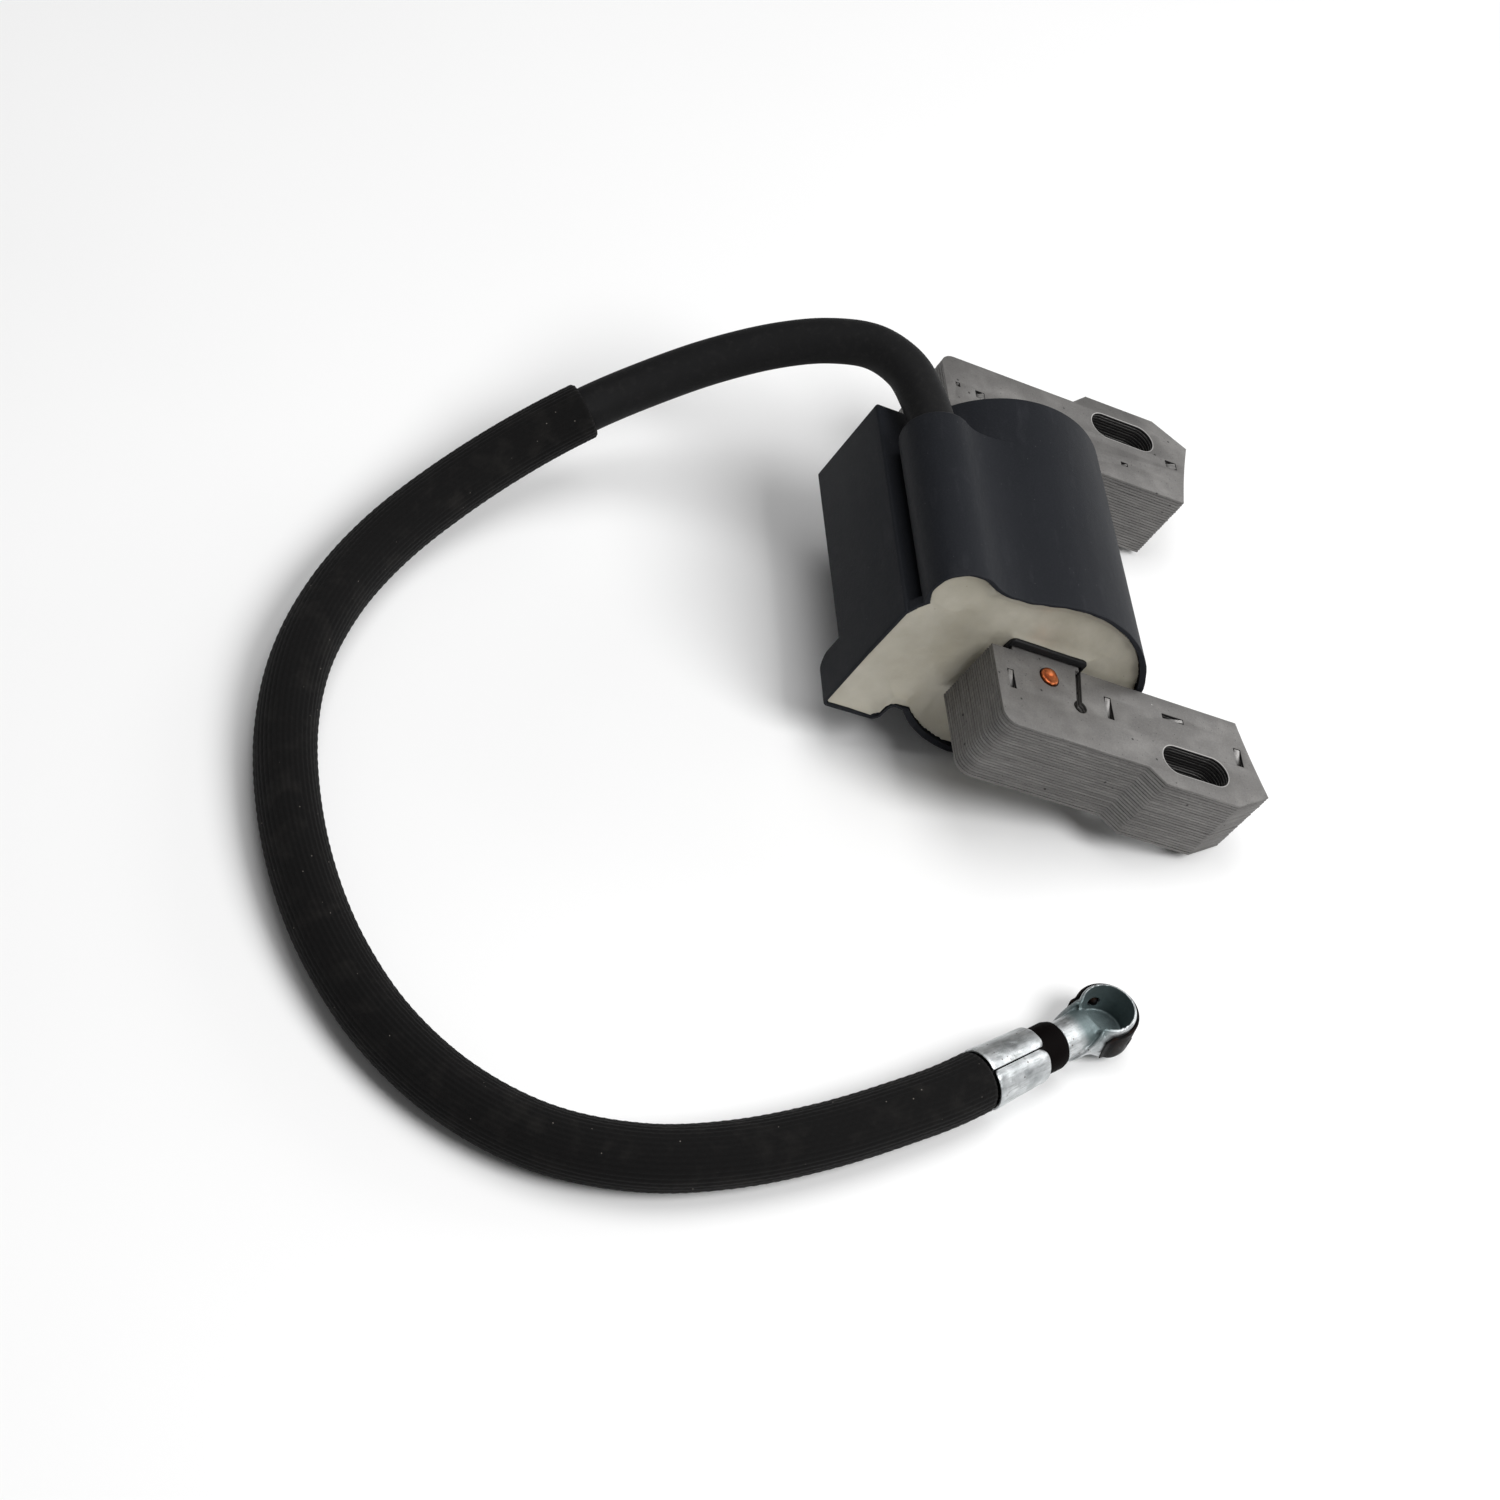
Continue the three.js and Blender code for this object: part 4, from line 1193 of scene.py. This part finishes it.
def rim_space(name, front, back, slack):
    """Space within the rim, which is thin along its top and left and thicker on the leg side."""
    space = housing_hollow(name, front, RIM + slack, RIM_FOOT + slack, RIM_SHIFT)
    return combine(space, [bar_y("slab", [ALL_ROUND], front - 1, back)], "INTERSECT")


def bobbin_passage(name, clearance):
    half_x, half_z = (half + clearance for half in TUBE_OUTER)
    return bar_y(name, [block(BARREL_X, BARREL_Z, half_x, half_z, 1)], OPEN_END - 1, FAR_END + 1)


def eased(value, low, high):
    share = min(1, max(0, (value - low) / (high - low)))
    return share * share * (3 - 2 * share)


def flared(piece):
    """Widens the barrel's leg side and the box's left wall evenly towards the open end."""
    for vertex in piece.data.vertices:
        x, y, z = (value / MM for value in vertex.co)
        angle = math.degrees(math.atan2(z - BARREL_Z, x - BARREL_X))
        sideways = eased(angle, *FLARE_FROM) * (1 - eased(angle, *FLARE_UNTIL))
        outside = eased(math.hypot(x - BARREL_X, z - BARREL_Z), FLARE_CORE, FLARE_FULL)
        left = eased(-x, *DRAFT_FROM) * (1 - eased(z, *DRAFT_UNTIL))
        along = (FAR_END - y) / (FAR_END - OPEN_END)
        vertex.co.x += (FLARE * sideways * outside - BOX_DRAFT * left) * along * MM
    return piece


def uneven_rim(shell):
    """Moulding flash and wear: the open end's edge wanders by a tenth of a millimetre or two."""
    noise.seed_set(RIM_SEED)
    for vertex in shell.data.vertices:
        x, y, z = (value / MM for value in vertex.co)
        if y < OPEN_END + HOLLOW_DEPTH:
            wander = noise.noise_vector(Vector((x, 4, z)) * 0.45)
            vertex.co += Vector([reach * way for reach, way in zip(RIM_WANDER, wander)]) * MM
    return shell


def collar_corner():
    """What the rounding of the collar's far corner takes away, in a plane along Y."""
    reach = (-BOX_LEFT - COLLAR_LOW) / math.sqrt(2) - 0.3 - COLLAR_ROUND
    far = 4 + COLLAR_ROUND
    outline = arc(0, 0, COLLAR_ROUND, 0, 90, 10) + [(0, far), (far, far), (far, 0)]
    tool = prism("collar_corner", [outline], -9, 9)
    spot = Vector((-reach / math.sqrt(2), COLLAR_BACK - COLLAR_ROUND, -reach / math.sqrt(2)))
    tool.data.transform(Matrix.Translation(spot * MM) @ Matrix.Rotation(math.radians(135), 4, "Y"))
    return tool


def add_housing():
    body = bar_y("housing_shell", [body_outline(0)], OPEN_END, FAR_END, MOULD_EDGE, steps=4)
    tower = bar_y("tower", [tower_outline(0)], OPEN_END, TOWER_MOUTH, MOULD_EDGE, steps=4)
    collar = bar_y("collar", [collar_outline(0)], OPEN_END, COLLAR_BACK, COLLAR_EDGE, steps=4)
    cut(collar, collar_corner())
    groove = bar_y("groove", [groove_outline(0)], OPEN_END, OPEN_END + GROOVE_END, SKIRT_EDGE)
    outlines = [body_outline(0), tower_outline(0), collar_outline(0)]
    skirts = [bar_y("skirt", [outline], OPEN_END, OPEN_END + SKIRT, SKIRT_EDGE) for outline in outlines]
    shell = join(body, tower, collar, groove, *skirts)
    hollow = housing_hollow("hollow", OPEN_END + HOLLOW_DEPTH, WALL, WALL)
    rim_cut = rim_space("rim_cut", OPEN_END - 1, OPEN_END + RIM_DEPTH, 0)
    bore = bar_y("bore", [circle(TOWER_X, TOWER_Z, TOWER_BORE, 48)], TOWER_FLOOR - 1, TOWER_MOUTH + 1)
    cut(shell, hollow, rim_cut, bore, bobbin_passage("passage", 0.3))
    uneven_rim(flared(shell))
    shell.matrix_world = CORE
    finish_piece(shell, 32, PLASTIC, "housing")


def inside_depth(x, z):
    """How far a point of the potting's face lies inside the housing's rim, roughly."""
    barrel = BARREL_RADIUS - 0.9 - math.hypot(x - BARREL_X, z - BARREL_Z)
    box = min(x - BOX_LEFT - 0.3, z - BOX_LOW, BOX_HIGH - z, 3 - x)
    lobe = TOWER_RADIUS - 0.5 - math.hypot(x - TOWER_X, z - TOWER_Z)
    foot = min(x - BOX_LEFT - 0.3, z - COLLAR_LOW - 0.4, COLLAR_RIGHT - 0.4 - x, 3 - z)
    valley = min(x - TOWER_X, BARREL_X - x, 21 - z, z - 8)
    web = min(x + 13.6, 16.6 - z, z - 8, -5 - x)
    return max(barrel, box, lobe, foot, valley, web)


def tube_distance(x, z):
    reach_x = abs(x - BARREL_X) - TUBE_OUTER[0]
    reach_z = abs(z - BARREL_Z) - TUBE_OUTER[1]
    return math.hypot(max(reach_x, 0), max(reach_z, 0))


def potting_rise(x, z):
    """How far the cured resin stands above its level: it creeps up walls and sags between them."""
    wall = max(inside_depth(x, z), 0)
    creep = WALL_CREEP * math.exp(-wall / CREEP_REACH)
    creep += TUBE_CREEP * math.exp(-tube_distance(x, z) / CREEP_REACH)
    sag = SAG * math.exp(-(((x - SAG_X) / SAG_REACH_X) ** 2) - ((z - SAG_Z) / SAG_REACH_Z) ** 2)
    ripple = 0.14 * noise.noise(Vector((x, z, 3)) * 0.2) + 0.03 * noise.noise(Vector((x, z, 9)) * 0.9)
    return creep - sag + ripple


def add_potting():
    potting = rim_space("potting_fill", POTTING_FACE, POTTING_FACE + 0.8, 0.08)
    join(potting, housing_hollow("behind", POTTING_FACE + 0.75, WALL + 0.1, WALL + 0.1))
    remeshed(potting, 0.28, 1)
    for vertex in potting.data.vertices:
        x, y, z = (value / MM for value in vertex.co)
        if y < POTTING_FACE + 0.3:
            vertex.co.y -= (potting_rise(x, z) - 0.1) * MM
    rooms = [
        (circle(BARREL_X, BARREL_Z, COIL_ROOM, 64), COIL_ROOM_START, FAR_END + 1),
        (block(*BOARD_ROOM, 0.3), BOARD_ROOM_START, FAR_END),
        (ALL_ROUND, POTTING_END, FAR_END + 2),
        (circle(TOWER_X, TOWER_Z, TAIL_ROOM, 16), TAIL_ROOM_START, TOWER_FLOOR + 2),
        (circle(TOWER_X, TOWER_Z, CONTACT_ROOM, 24), TOWER_FLOOR, TOWER_MOUTH),
    ]
    tools = [bar_y("room", [outline], low, high) for outline, low, high in rooms]
    cut(potting, *tools, bobbin_passage("tube_way", 0.06))
    flared(potting)
    potting.matrix_world = CORE
    finish_piece(potting, 50, RESIN, "potting_compound")


def add_bobbin():
    """Black tube round the limb with a cheek at each end of the primary winding."""
    bore = block(BARREL_X, BARREL_Z, *TUBE_INNER, 0.3)
    skin = block(BARREL_X, BARREL_Z, *TUBE_OUTER, 0.7)
    bobbin = bar_y("bobbin_tube", [skin, bore], TUBE_START, TUBE_END, 0.2, CORE, 3)
    cheek = block(BARREL_X, BARREL_Z, *CHEEK, 3.2)
    join(bobbin, *[bar_y("cheek", [cheek, bore], y, y + 1, 0.15, CORE) for y in CHEEK_STARTS])
    finish_piece(bobbin, 40, BOBBIN, "primary_bobbin")


add_housing()
add_potting()
add_bobbin()

# ---- hidden pieces keep their CAD shape ----

HIDDEN = {
    "primary_winding": WIRE,
    "secondary_bobbin": BOBBIN,
    "circuit_board": BOARD,
    "power_transistor": CASE,
    "trigger_coil": WIRE,
    "resistor": CERAMIC,
    "diode": CASE,
    "ht_contact": BRASS,
    "lead_conductor": COPPER,
    **{f"secondary_winding_{index}": WIRE for index in range(1, 7)},
}


def dress_hidden():
    for name, look in HIDDEN.items():
        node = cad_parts[name]
        node.data.materials.clear()
        node.data.materials.append(look)


dress_hidden()

# ---- stage ----


def add_stage():
    corners = [(x * FLOOR_HALF, y * FLOOR_HALF, 0) for x, y in ((-1, -1), (1, -1), (1, 1), (-1, 1))]
    floor = mesh_object("floor", corners, [(0, 1, 2, 3)])
    floor.data.materials.append(floor_paint())
    world = bpy.data.worlds.new("studio")
    world.use_nodes = True
    background = world.node_tree.nodes["Background"]
    background.inputs["Color"].default_value = (1, 1, 1, 1)
    background.inputs["Strength"].default_value = WORLD_LIGHT
    bpy.context.scene.world = world


def add_light(name, place, aim, size, power):
    data = bpy.data.lights.new(name, "AREA")
    data.shape = "DISK"
    data.size = size
    data.energy = power
    new_object(name, data, aimed(place, aim))


add_stage()
for light in LIGHTS:
    add_light(*light)
bpy.context.scene.view_settings.view_transform = "Standard"
